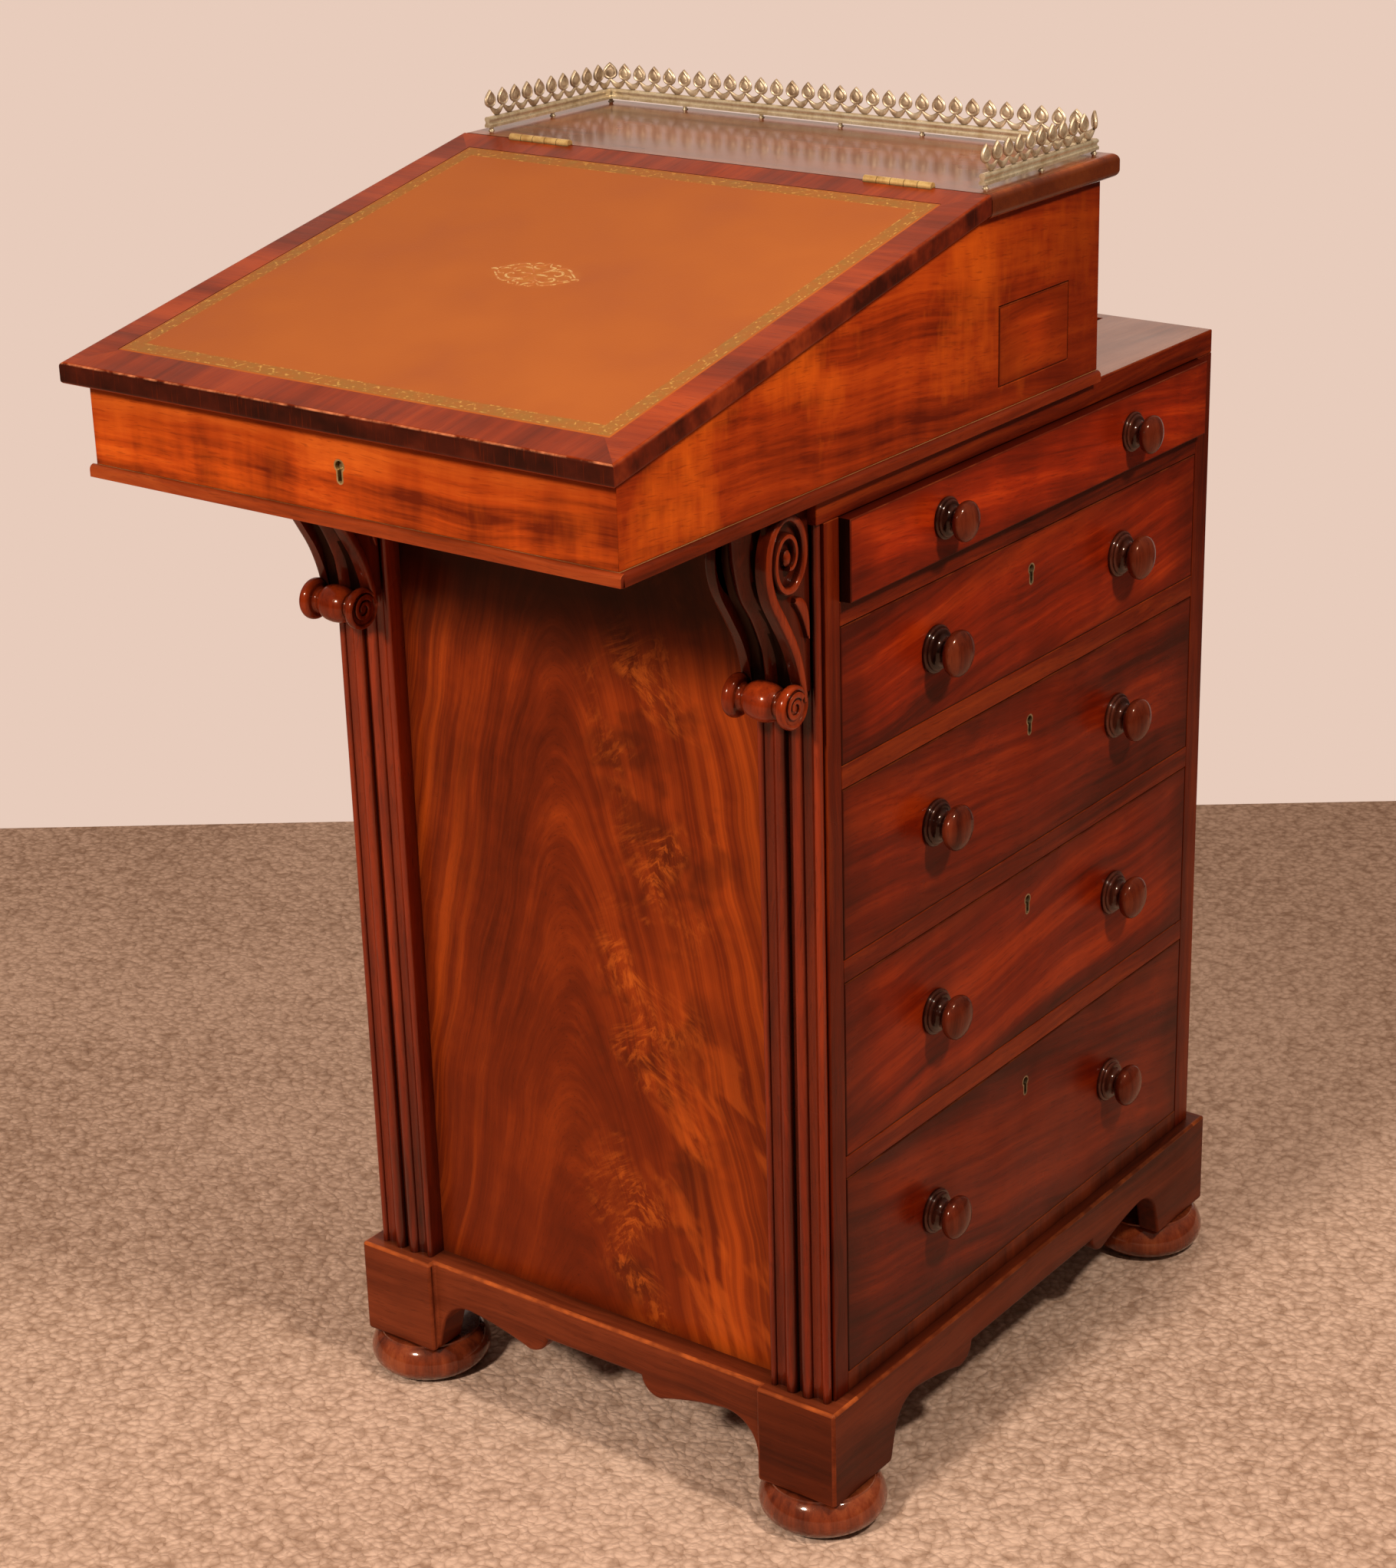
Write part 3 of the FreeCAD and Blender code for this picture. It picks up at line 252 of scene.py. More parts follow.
def polished(g, colour, fine, pores, dark, rough, coat, grime_and_shade, crevice=(0.9, 0.3), polish=0.08):
    """Pores, grime and painted shade in the corners, and a polish that has dulled unevenly."""
    colour = g.mix(g.times(pores, 0.35), colour, dark)
    if grime_and_shade:
        # Darker where the surface is closed in: grime and painted shade of the crevices together.
        colour = g.mix(g.span(g.shadowed(0.012), *crevice, 0.0, grime_and_shade), colour, GRIME_AND_SHADE)
    height = g.less(g.times(fine, 0.4), pores)
    dulled = g.noise(g.place, 3, 0.6, 11)
    return g.finish(
        Base_Color=colour,
        Roughness=g.span(dulled, 0.35, 0.65, *rough),
        Specular_IOR_Level=0.16,
        Specular_Tint=SHELLAC,
        Coat_Weight=coat,
        Coat_Roughness=polish,
        Normal=g.bump(height, 0.1, 0.0004),
    )


def glowing(g, grain, share):
    """Patches where short fibres across the grain shine, as a share of the surface's colour."""
    patch = g.noise(g.vector("MULTIPLY", g.place, (9.0, 9.0, 10.0)), 4, 0.6)
    fibre = g.noise(g.stretch(g.place, grain, 110, 22), 3, 0.7)
    value = g.plus(fibre, 0.2, patch)
    return g.span(value, 0.6, 0.8, 0.0, share)


def bordered(g, node, reach, share):
    """Darker towards the ends and edges of an upright board that faces sideways, with a thin dark line along the
    edges as painted shade of the gap round it.
    """
    low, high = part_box(node)
    _, y, z = g.split(g.place)
    to_end = g.within(y, low.y, high.y)
    to_edge = g.within(z, low.z, high.z)
    # Painted shade of the gap round the board: a thin dark line close along its edges.
    rim = g.span(g.math("MINIMUM", to_end, to_edge), 0.0006, 0.0024, 0.9, 0.0)
    inset = g.math("MINIMUM", g.times(to_end, 0.5), to_edge)
    inset = g.math("ADD", inset, g.span(g.noise(g.place, 2, 0.5, 24), 0.3, 0.7, -0.006, 0.006))
    return g.math("MAXIMUM", g.span(inset, 0.0, reach, share, 0.0), rim)


def wood(name, grain, tones, seed, tilt=(0, 0, 0), band=24, mottle=0.12, rough=(0.26, 0.42), coat=0.03,
         grime_and_shade=0.6, worn=0.0, glow=0.0, border=None, crevice=(0.9, 0.3), polish=0.08, fade=None, rim=0.0):
    """Polished wood with its grain along one axis.

    A painted shade darkens it along an axis, from one place to another, and rim on the faces that do not look up."""
    g = Finish(name)
    place = g.warped(g.turned(seed, tilt), 5.0, 0.028)
    value, fine, pores = grain_of(g, place, grain, band, mottle)
    colour = stained(g, value, tones)
    if glow:
        colour = g.mix(glowing(g, grain, glow), colour, GLOW)
    if border:
        colour = g.mix(bordered(g, border, 0.022, 0.6), colour, lighter(tones[0], 0.6))
    # Painted shade: darker along an axis towards where less light falls.
    if fade:
        axis, start, end, sway, share = fade
        along = g.split(g.warped(g.place, 9.0, sway))[AXIS[axis]]
        colour = g.mix(g.span(along, start, end, 0.0, share), colour, tones[0])
    if rim:
        colour = g.mix(g.span(g.facing()[2], *UPWARD, rim, 0.0), colour, tones[0])
    if worn:
        patch = g.noise(g.place, 3, 0.65, 38)
        colour = g.mix(g.span(patch, 0.42, 0.66, worn * 0.2, worn), colour, WORN)
    return polished(g, colour, fine, pores, tones[0], rough, coat, grime_and_shade, crevice, polish)


def pair(name, grain, tones, wear, **look):
    """A board's finish, and the same worn brighter here and there along its edges."""
    board = wood(name, grain, tones, **look)
    edge = wood(name + "_edge", grain, tones, **{**look, "grime_and_shade": 0, "rough": (0.3, 0.5), "worn": wear})
    return [board, edge]


PEAK = -0.02
ARCH_BEND = 0.042
ARCH_RISE = 5.0
SPINE = 0.055
STREAK_TONE = tone(184, 74, 17)
CURL_TONE = tone(204, 96, 28)
LEAF_TONE = tone(190, 82, 22)
SHADE_TONE = tone(60, 17, 5)
# Painted shade beside the pilasters.
PILASTER_SHADE_TONE = tone(60, 16, 6)
# Painted shadow of the box's overhang: its tone and the heights it fades over.
BOX_SHADOW_TONE = tone(24, 8, 4)
BOX_SHADOW_SPAN = (0.575, 0.645)


def flame(name):
    """Flame veneer: nested arches, steep streaks at the sides and a feathered spine right of the middle, with
    painted shade beside the pilasters and a painted shadow of the box across its top.
    """
    g = Finish(name)
    x, _, z = g.split(g.warped(g.place, 7.0, 0.03))
    off = g.less(x, PEAK)
    spread = g.math("SQRT", g.plus(off, off, ARCH_BEND**2))
    height = g.plus(spread, ARCH_RISE, z)
    along = g.plus(z, 0.9, g.times(off, 4.0))
    place = g.join(along, 0.0, height)
    fine = g.noise(g.stretch(place, "x", 6, 110), 5, 0.7)
    pores = g.span(g.noise(g.stretch(place, "x", 70, 600), 1), 0.6, 0.7)
    broad = g.noise(g.stretch(place, "x", 2.4, 18), 4, 0.6)
    cloud = g.noise(g.warped(g.place, 9, 0.05), 4, 0.62, 9)
    value = g.plus(broad, 0.5, g.plus(fine, 0.34, g.times(cloud, 0.55)))
    calm = g.span(z, 0.16, 0.46, 0.5, 1.0)
    value = g.plus(g.less(value, 0.695), calm, 0.79)
    colour = stained(g, value, FLAME, (0.58, 0.78, 1.0))

    streak = g.noise(g.join(g.times(along, 1.5), 3.7, g.times(height, 20.0)), 3, 0.6)
    side = g.span(g.math("ABSOLUTE", off), 0.07, 0.13)
    lick = g.times(g.span(streak, 0.46, 0.66), side)
    colour = g.mix(g.times(lick, 0.8), colour, STREAK_TONE)

    wander = g.span(g.noise(g.join(0.0, 5.1, g.times(z, 7.0)), 2), 0.3, 0.7, -0.045, 0.045)
    from_spine = g.less(g.less(x, SPINE), wander)
    slant = g.math("ABSOLUTE", from_spine)
    near = g.span(slant, 0.006, 0.055, 1.0, 0.0)
    feather = g.join(g.times(g.less(slant, z), 42.0), 0.0, g.times(g.math("ADD", slant, z), 130.0))
    fleck = g.span(g.noise(g.warped(feather, 1.3, 1.2), 4, 0.7), 0.46, 0.62)
    patch = g.span(g.noise(g.place, 3, 0.6, 19), 0.47, 0.62)
    curl = g.times(fleck, patch, near)
    shade = g.span(g.noise(g.vector("ADD", g.place, (1.3, 0.0, 0.7)), 3, 0.6, 19), 0.51, 0.62)
    beside = g.span(slant, 0.03, 0.085, 1.0, 0.0)
    colour = g.mix(g.times(shade, beside, 0.6), colour, SHADE_TONE)
    colour = g.mix(g.times(curl, 0.62), colour, CURL_TONE)
    leaf_place = g.join(g.times(g.plus(z, 0.75, x), 30.0), 2.2, g.times(g.plus(x, -0.75, z), 9.0))
    leaf = g.span(g.noise(g.warped(leaf_place, 1.1, 0.9), 3, 0.55), 0.53, 0.63)
    low_right = g.times(g.span(x, 0.01, 0.08), g.span(z, 0.26, 0.4, 1.0, 0.0))
    colour = g.mix(g.times(leaf, low_right, 0.6), colour, LEAF_TONE)
    # Painted shade beside the pilasters, along both sides of the panel.
    colour = g.mix(g.span(g.math("ABSOLUTE", x), 0.12, 0.158, 0.0, 0.35), colour, PILASTER_SHADE_TONE)
    # Painted shadow of the box's overhang across the top of the panel.
    colour = g.mix(g.span(z, *BOX_SHADOW_SPAN, 0.0, 0.88), colour, BOX_SHADOW_TONE)
    return polished(g, colour, fine, pores, tone(50, 14, 4), rough=(0.24, 0.4), coat=0.03, grime_and_shade=0.5)


def lid_strips(g):
    """Short grain across each strip of the lid's border, turned at the mitres."""
    low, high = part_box("lid_frame")
    x, y, z = g.split(g.place)
    to_side = g.less(high.x, g.math("ABSOLUTE", x))
    to_end = g.within(y, low.y, high.y)
    on_side = g.math("LESS_THAN", to_side, to_end)
    slow = g.times(z, 0.05)
    return g.choose(on_side, g.join(x, y, slow), g.join(y, x, slow))


BAR_SCALE = (15.0, 24.0, 20.0)


def crossband(name):
    """The lid's border: soft cross patches on top, a dark front edge, barred side edges, a plain underside, and a
    rubbed front arris with a painted highlight.
    """
    g = Finish(name)
    place = g.warped(lid_strips(g), 5.0, 0.02)
    value, fine, pores = grain_of(g, place, "y", 26, 0.25)
    colour = stained(g, value, BANDING)
    bars = g.noise(g.vector("MULTIPLY", g.place, BAR_SCALE), 4, 0.65)
    nx, _, nz = g.facing()
    sideways = g.math("ABSOLUTE", nx)
    barred = stained(g, bars, BARRED, (0.38, 0.52, 0.68))
    smooth = stained(g, bars, SMOOTH, (0.38, 0.54, 0.7))
    edges = g.mix(g.span(sideways, 0.3, 0.7), smooth, barred)
    colour = g.mix(g.span(nz, *UPWARD, 1.0, 0.0), colour, edges)
    below = grain_of(g, g.warped(g.place, 5.0, 0.028), "x", 24, 0.12)[0]
    colour = g.mix(g.span(nz, -0.7, -0.4, 1.0, 0.0), colour, stained(g, below, FRAME))
    # The front arris: rubbed wood and a painted highlight along it.
    arris_wear_and_highlight = g.times(g.span(nz, 0.4, 0.6), g.span(nz, 0.84, 0.92, 1.0, 0.0), g.span(sideways, 0.2, 0.5, 1.0, 0.1))
    rubbed = g.span(g.noise(g.place, 4, 0.7, 60), 0.42, 0.64, 0.0, 0.7)
    colour = g.mix(g.times(arris_wear_and_highlight, rubbed), colour, RUBBED_HIGHLIGHT)
    return polished(g, colour, fine, pores, BANDING[0], rough=(0.26, 0.4), coat=0.06, grime_and_shade=0.5)


BAND_OUT, BAND_IN = 3.0, 12.0
BAND_WAVE, BAND_SWING, BAND_MIDDLE = 10.5, 2.4, 7.5
MEDALLION_SHARE = 0.508
MEDALLION_REACH = (34.0, 18.0)
BAND_TONE = tone(134, 94, 40)
STAIN_TONE = tone(176, 112, 46)
GILT_TONE = tone(222, 172, 92)


def leather(name):
    """Worn tan leather with a fine grain and a rubbed gilt band near its edge."""
    g = Finish(name)
    low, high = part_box("writing_leather")
    x, y, _ = g.split(g.place)
    to_side = g.less(high.x, g.math("ABSOLUTE", x))
    to_end = g.within(y, low.y, high.y)
    inset = g.math("MINIMUM", to_side, to_end)
    on_side = g.math("LESS_THAN", to_side, to_end)
    run = g.add("Mix", {0: on_side, 2: x, 3: y}).outputs[0]
    cloudy = g.noise(g.place, 4, 0.6, 7)
    colour = stained(g, cloudy, HIDE, (0.32, 0.5, 0.68))
    rubbed = g.noise(g.place, 3, 0.7, 90)
    worn = g.span(g.noise(g.place, 2, 0.6, 330), 0.52, 0.66)
    swing = g.math("SINE", g.times(run, 2 * math.pi / (BAND_WAVE * MM)))
    wave = g.plus(swing, BAND_SWING * MM, BAND_MIDDLE * MM)
    gilt = g.span(g.math("ABSOLUTE", g.less(inset, wave)), 0.0005, 0.0013, 1.0, 0.0)
    for edge in (BAND_IN, BAND_OUT):
        off = g.math("ABSOLUTE", g.less(inset, edge * MM))
        gilt = g.math("MAXIMUM", gilt, g.span(off, 0.0003, 0.0007, 1.0, 0.0))
    gilt = g.times(gilt, worn)
    band = g.times(g.span(inset, 0.0012, 0.0022), g.span(inset, 0.0116, 0.0132, 1.0, 0.0))
    colour = g.mix(g.times(band, g.span(rubbed, 0.3, 0.6, 0.85, 0.45)), colour, BAND_TONE)
    colour = g.mix(g.times(gilt, 0.8), colour, GILT_TONE)
    middle = low.y + MEDALLION_SHARE * (high.y - low.y)
    across = g.math("DIVIDE", x, MEDALLION_REACH[0] * MM)
    along = g.math("DIVIDE", g.less(y, middle), MEDALLION_REACH[1] * MM)
    spread = g.plus(across, across, g.times(along, along))
    stain = g.times(g.span(spread, 0.3, 1.15, 1.0, 0.0), g.span(rubbed, 0.36, 0.62, 0.1, 0.55))
    colour = g.mix(stain, colour, STAIN_TONE)
    cells = g.add("TexVoronoi", {"Vector": g.warped(g.place, 300, 0.0006), "Scale": 900.0}).outputs[0]
    height = g.math("ADD", g.times(cells, 0.6), g.times(rubbed, 0.3))
    return g.finish(
        Base_Color=colour,
        Metallic=g.times(gilt, 0.5),
        Roughness=g.span(cloudy, 0.3, 0.7, 0.46, 0.62),
        Specular_IOR_Level=0.3,
        Specular_Tint=SHELLAC,
        Normal=g.bump(height, 0.14, 0.0005),
    )


def gilding(name):
    """Gold leaf pressed into the leather and mostly rubbed away."""
    g = Finish(name)
    worn = g.span(g.noise(g.place, 3, 0.7, 190), 0.47, 0.62)
    return g.finish(
        Base_Color=g.mix(worn, tone(172, 94, 38), tone(232, 190, 118)),
        Metallic=g.times(worn, 0.6),
        Roughness=g.span(worn, 0.0, 1.0, 0.55, 0.34),
    )


def brass(name, bright, mid, tarnish, rough=(0.24, 0.44), reach=0.004, relief=0.12, *, metal):
    """Aged brass, rubbed bright where it stands proud and brown in its hollows."""
    g = Finish(name)
    cloudy = g.noise(g.place, 4, 0.65, 140)
    colour = g.ramp(cloudy, [(0.34, mid), (0.62, bright)])
    colour = g.mix(g.span(g.shadowed(reach), 0.85, 0.3, 0.0, 0.85), colour, tarnish)
    return g.finish(
        Base_Color=colour,
        Metallic=metal,
        Roughness=g.span(cloudy, 0.3, 0.7, rough[1], rough[0]),
        Normal=g.bump(cloudy, relief, 0.0004),
    )


def carpet(name, colour, deep):
    """A plain pale floor with a short looped nap."""
    g = Finish(name)
    cells = g.add("TexVoronoi", {"Vector": g.warped(g.place, 70, 0.012), "Scale": 165.0})
    loops = cells.outputs["Distance"]
    speck = g.split(cells.outputs["Color"])[0]
    tuft = g.noise(g.place, 5, 0.75, 60)
    patch = g.noise(g.place, 2, 0.5, 2.2)
    value = g.plus(patch, 0.3, g.times(tuft, 0.4))
    value = g.plus(speck, 0.16, g.math("ADD", value, 0.2))
    value = g.less(value, g.times(loops, 0.34))
    return g.finish(
        Base_Color=g.ramp(value, [(0.26, deep), (0.6, colour)]),
        Roughness=0.95,
        Normal=g.bump(g.less(g.times(tuft, 0.6), loops), 0.32, 0.005),
    )


# Mesh building


def placed(name, data):
    made = bpy.data.objects.new(name, data)
    bpy.context.scene.collection.objects.link(made)
    return made


def piece(name, bm, body, materials, nodes=(), sharp=38):
    """Turns a mesh under work into a named piece that rides on its body and stands for its nodes."""
    mesh = bpy.data.meshes.new(name)
    bmesh.ops.recalc_face_normals(bm, faces=bm.faces)
    bm.to_mesh(mesh)
    bm.free()
    for material in materials:
        mesh.materials.append(material)
    mesh.shade_smooth()
    mesh.set_sharp_from_angle(angle=math.radians(sharp))
    made = placed(name, mesh)
    weighted = made.modifiers.new("weighted", "WEIGHTED_NORMAL")
    weighted.keep_sharp = True
    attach(made, body)
    if nodes:
        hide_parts(*nodes)


def copied(node):
    """A node's own shape, with its flat faces whole again."""
    bm = bmesh.new()
    bm.from_mesh(NODES[node].data)
    bmesh.ops.remove_doubles(bm, verts=bm.verts, dist=2e-6)
    bmesh.ops.dissolve_limit(bm, angle_limit=math.radians(0.3), verts=bm.verts, edges=bm.edges)
    for face in bm.faces:
        face.material_index = 0
    return bm


def ease(bm, width, shortest=0.0, seams=()):
    """Rounds the sharp edges that are no joint with a neighbour and gives the rounds the second finish."""
    edges = [
        edge for edge in bm.edges
        if len(edge.link_faces) == 2 and edge.calc_face_angle(0.0) > math.radians(32)
        and edge.calc_length() > shortest * MM
        and not any(all(abs(v.co[axis] - at) < 1e-5 for v in edge.verts) for axis, at in seams)
    ]
    bmesh.ops.bevel(bm, geom=edges, offset=width * MM, offset_type="OFFSET", segments=2, profile=0.5,
                    affect="EDGES", clamp_overlap=True, material=1)


def eased(node, width, materials, shortest=0.0, seams=(), shape=None, paint=None):
    """A node's own shape with its edges rounded.

    Only the rounds that look up keep the second finish; paint picks the finish of a flat face."""
    bm = copied(node)
    if shape:
        shape(bm)
    ease(bm, width, shortest, seams)
    bmesh.ops.recalc_face_normals(bm, faces=bm.faces)
    for face in bm.faces:
        if face.material_index == 1 and face.normal.z < 0.25:
            face.material_index = 0
        elif face.material_index == 0 and paint:
            face.material_index = paint(face)
    piece(node + "_board", bm, BODY_OF[node], materials, [node])


def dress(node, material):
    """Gives a node that keeps its own shape a finish."""
    mesh = NODES[node].data
    if not mesh.materials:
        mesh.materials.append(material)
    for slot in NODES[node].material_slots:
        slot.material = material


def curve(points, steps):
    """Points along a smooth line through the given ones."""
    ends = [points[0]] + list(points) + [points[-1]]
    made = []
    for a, b, c, d in zip(ends, ends[1:], ends[2:], ends[3:]):
        for i in range(steps):
            t = i / steps
            made.append(tuple(
                0.5 * (2 * q + (r - p) * t + (2 * p - 5 * q + 4 * r - s) * t * t + (3 * q - p - 3 * r + s) * t**3)
                for p, q, r, s in zip(a, b, c, d)
            ))
    made.append(tuple(points[-1]))
    return made


def values_of(points, steps):
    """The same for single values."""
    return [value for (value,) in curve([(value,) for value in points], steps)]


def strip(bm, rings, material=0):
    """Joins rings of points with faces."""
    rows = [[bm.verts.new(point) for point in ring] for ring in rings]
    for first, second in zip(rows, rows[1:]):
        count = max(len(first), len(second))
        for i in range(count):
            j = (i + 1) % count
            corners = []
            for row, k in ((first, i), (first, j), (second, j), (second, i)):
                vert = row[k] if len(row) > 1 else row[0]
                if vert not in corners:
                    corners.append(vert)
            if len(corners) > 2:
                bm.faces.new(corners).material_index = material
    return rows


def solid(bm, rings, material=0, ends=None):
    """Joins rings of points and closes the first and the last one, in the finish that ends names."""
    rows = strip(bm, rings, material)
    for row in (rows[0], rows[-1]):
        if len(row) > 2:
            bm.faces.new(row).material_index = material if ends is None else ends


def turn(bm, profile, origin, axis, segments, material=0):
    """A turned solid: the profile's distances along the axis and its radii."""
    axis = Vector(axis).normalized()
    side = axis.orthogonal().normalized()
    other = axis.cross(side)
    rings = []
    for along, radius in profile:
        centre = Vector(origin) + axis * along
        if radius < 1e-6:
            rings.append([centre])
            continue
        angles = [2 * math.pi * i / segments for i in range(segments)]
        rings.append([centre + (side * math.cos(a) + other * math.sin(a)) * radius for a in angles])
    solid(bm, rings, material)


def flat_sweep(bm, line, widths, section, base, height, to_world):
    """A moulding along a line in one plane: the section's shares go across the width and up the height."""
    rings = []
    last = len(line) - 1
    for i, (point, width) in enumerate(zip(line, widths)):
        ahead, behind = line[min(i + 1, last)], line[max(i - 1, 0)]
        du, dv = ahead[0] - behind[0], ahead[1] - behind[1]
        length = math.hypot(du, dv)
        nu, nv = -dv / length, du / length
        rings.append([
            to_world(point[0] + nu * width * s, point[1] + nv * width * s, base + height * t) for s, t in section
        ])
    solid(bm, rings)


# Turned work

KNOB_ROSE = [(0.0, 1.03), (0.06, 1.04), (0.13, 1.03), (0.18, 0.97)]
KNOB_BEAD = [(0.19, 0.91), (0.25, 0.91), (0.31, 0.85), (0.34, 0.77)]
KNOB_NECK = [(0.35, 0.7), (0.4, 0.61), (0.48, 0.545), (0.56, 0.52), (0.64, 0.55), (0.72, 0.65)]
KNOB_HEAD = [(0.82, 0.8), (0.93, 0.92), (1.06, 0.985), (1.18, 1.0), (1.3, 0.95), (1.41, 0.82), (1.51, 0.62),
             (1.58, 0.38), (1.612, 0.15), (1.62, 0.0)]
KNOB_APART = 40 * MM


def middles(points, reach):
    """The middle of each group of points that lie within reach of its first one."""
    groups = []
    for point in points:
        for group in groups:
            if (group[0] - point).length < reach:
                group.append(point)
                break
        else:
            groups.append([point])
    return [tuple((min(side) + max(side)) / 2 for side in zip(*group)) for group in groups]


def knobs(node, hand, materials):
    """The turned knobs of a node, each where its solid is, facing right or left."""
    low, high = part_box(node)
    radius = (high.x - low.x) / KNOB_HEAD[-1][0]
    face = low.x if hand > 0 else high.x
    shares = curve(KNOB_ROSE, 3) + curve(KNOB_BEAD, 4) + curve(KNOB_NECK + KNOB_HEAD, 4)
    profile = [(along * radius, max(reach, 0.0) * radius) for along, reach in shares]
    bm = bmesh.new()
    for y, z in sorted(middles([vert.co.yz for vert in NODES[node].data.vertices], KNOB_APART)):
        turn(bm, profile, (face, y, z), (hand, 0, 0), 40)
    for part in bm.faces:
        # The rose and neck take the second, darker finish, as painted shade of the head.
        part.material_index = int(abs(part.calc_center_median().x - face) < KNOB_HEAD[0][0] * radius)
    piece(node + "_turned", bm, BODY_OF[node], materials, [node], 50)


FOOT = [(0.0, 31.0), (1.1, 34.6), (3.6, 39.6), (8.4, 43.6), (14.4, 45.0), (20.4, 43.8), (25.6, 41.2), (29.0, 38.2)]
FOOT_NECK = [(29.5, 37.2), (31.0, 37.0), (31.0, 0.0)]
FOOT_REACH = 45.0


def feet(material):
    low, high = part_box("bun_feet")
    reach = FOOT_REACH * MM
    profile = [(a * MM, r * MM) for a, r in [(0.0, 0.0)] + curve(FOOT, 4) + FOOT_NECK]
    bm = bmesh.new()
    for x in (low.x + reach, high.x - reach):
        for y in (low.y + reach, high.y - reach):
            turn(bm, profile, (x, y, 0.0), (0, 0, 1), 56)
    piece("bun_feet_turned", bm, "pedestal", [material], ["bun_feet"], 40)


# Carved corbels

VOLUTE = (25.5, 31.0)
VOLUTE_TALL = 1.35
VOLUTE_COIL = (1.75, 0.0, 20.0, 4.6, 1.45, 77)
STEM = [(45.8, 31.0), (44.8, 42.0), (40.2, 55.2), (30.2, 71.5), (20.6, 88.0), (14.6, 103.0), (11.4, 116.0),
        (10.2, 127.0)]
STEM_WIDTHS = [3.3, 3.6, 3.9, 4.0, 3.8, 3.5, 3.0, 2.4]
WEB_FRONT = [(50.0, 0.0), (50.0, 20.0), (49.6, 36.0), (44.0, 57.0), (32.7, 75.0), (24.4, 94.0), (21.0, 112.0),
             (20.0, 124.0)]
BAND_SECTION = [(-1.0, 0.0), (-1.0, 0.62), (-0.88, 0.84), (-0.55, 0.97), (0.0, 1.0), (0.55, 0.97), (0.88, 0.84),
                (1.0, 0.62), (1.0, 0.0)]
LEAF = [(18.0, 60.0), (13.0, 62.5), (8.5, 68.0), (5.5, 77.0), (4.0, 88.0)]
LEAF_WIDTHS = [1.5, 3.6, 4.2, 3.0, 0.8]
LEAF_BASE, LEAF_RISE = 3.0, 4.5
VOLUTE_FLOOR = 22.6
EYE = [(-0.5, 0.0), (-0.5, 4.0), (3.0, 3.8), (4.4, 2.4), (4.8, 0.0)]
RIB = 9.0
SINK = 5.5
WEB_INSET = 5.0
WEB_BACK = 7.0
WEB_STEPS = 14
ROLL = (21.5, 128.0)
ROLL_END = [(1.3, 0.0), (1.3, 10.6), (0.5, 11.4)]
ROLL_RIM = [(0.0, 12.4), (0.6, 13.6), (2.2, 14.4), (4.4, 14.3), (6.4, 13.2), (7.6, 11.4)]
ROLL_NECK = [(7.9, 9.6), (9.4, 8.3), (11.2, 8.2), (12.2, 8.8)]
ROLL_BALL = [(12.4, 9.4), (15.0, 11.2), (19.0, 12.6), (24.0, 13.1)]
ROLL_SINK, ROLL_RISE = 1.5, 1.7
ROLL_COIL = (-1.45, math.radians(150), 9.2, 2.6, 0.85, 52)


def spiral(turns, start, outer, inner, power, steps):
    """Points round a middle, from the outer radius to the inner one."""
    line = []
    for i in range(steps + 1):
        share = i / steps
        angle = start + turns * 2 * math.pi * share
        radius = outer + (inner - outer) * share**power
        line.append((radius * math.cos(angle), radius * math.sin(angle)))
    return line


def ridge_share(down):
    """The half width of the leaf's ridge that stands in the hollow, broad at the top and narrow below."""
    return 0.62 - 0.36 * min(1.0, down / 100)


def web_depth(share, down):
    """How far the middle of the corbel lies behind the scrolls, across the width from -1 to 1."""
    off = abs(share)
    ridge = ridge_share(down)
    if off < ridge:
        return 1.6 + 4.6 * (off / ridge) ** 1.6
    return 6.2 + 5.0 * max(0.0, math.sin(math.pi * (off - ridge) / (1 - ridge))) ** 0.8


def corbel_scroll(bm, to_world, inward):
    """One side's scroll, with the sunk floor and the eye of its volute and the leaf below it."""
    coil = [(VOLUTE[0] + u, VOLUTE[1] - v * VOLUTE_TALL) for u, v in spiral(*VOLUTE_COIL)]
    coil_widths = [3.3 - 1.4 * i / (len(coil) - 1) for i in range(len(coil))]
    line = coil[::-1] + curve(STEM, 6)[1:]
    widths = coil_widths[::-1] + values_of(STEM_WIDTHS, 6)[1:]
    flat_sweep(bm, line, widths, BAND_SECTION, 0.0, RIB, to_world)
    centre = to_world(VOLUTE[0], VOLUTE[1], 0.0)
    axis = (-inward, 0, 0)
    floor, reach = (RIB - SINK) * MM, VOLUTE_FLOOR * MM
    before = set(bm.verts)
    turn(bm, [(0, 0), (0, reach), (floor, reach), (floor, 0)], centre, axis, 48, 2)
    turn(bm, [(floor + along * MM, radius * MM) for along, radius in EYE], centre, axis, 24)
    for vert in set(bm.verts) - before:
        vert.co.z = centre.z + (vert.co.z - centre.z) * VOLUTE_TALL
    flat_sweep(bm, curve(LEAF, 4), values_of(LEAF_WIDTHS, 4), BAND_SECTION, LEAF_BASE, LEAF_RISE, to_world)


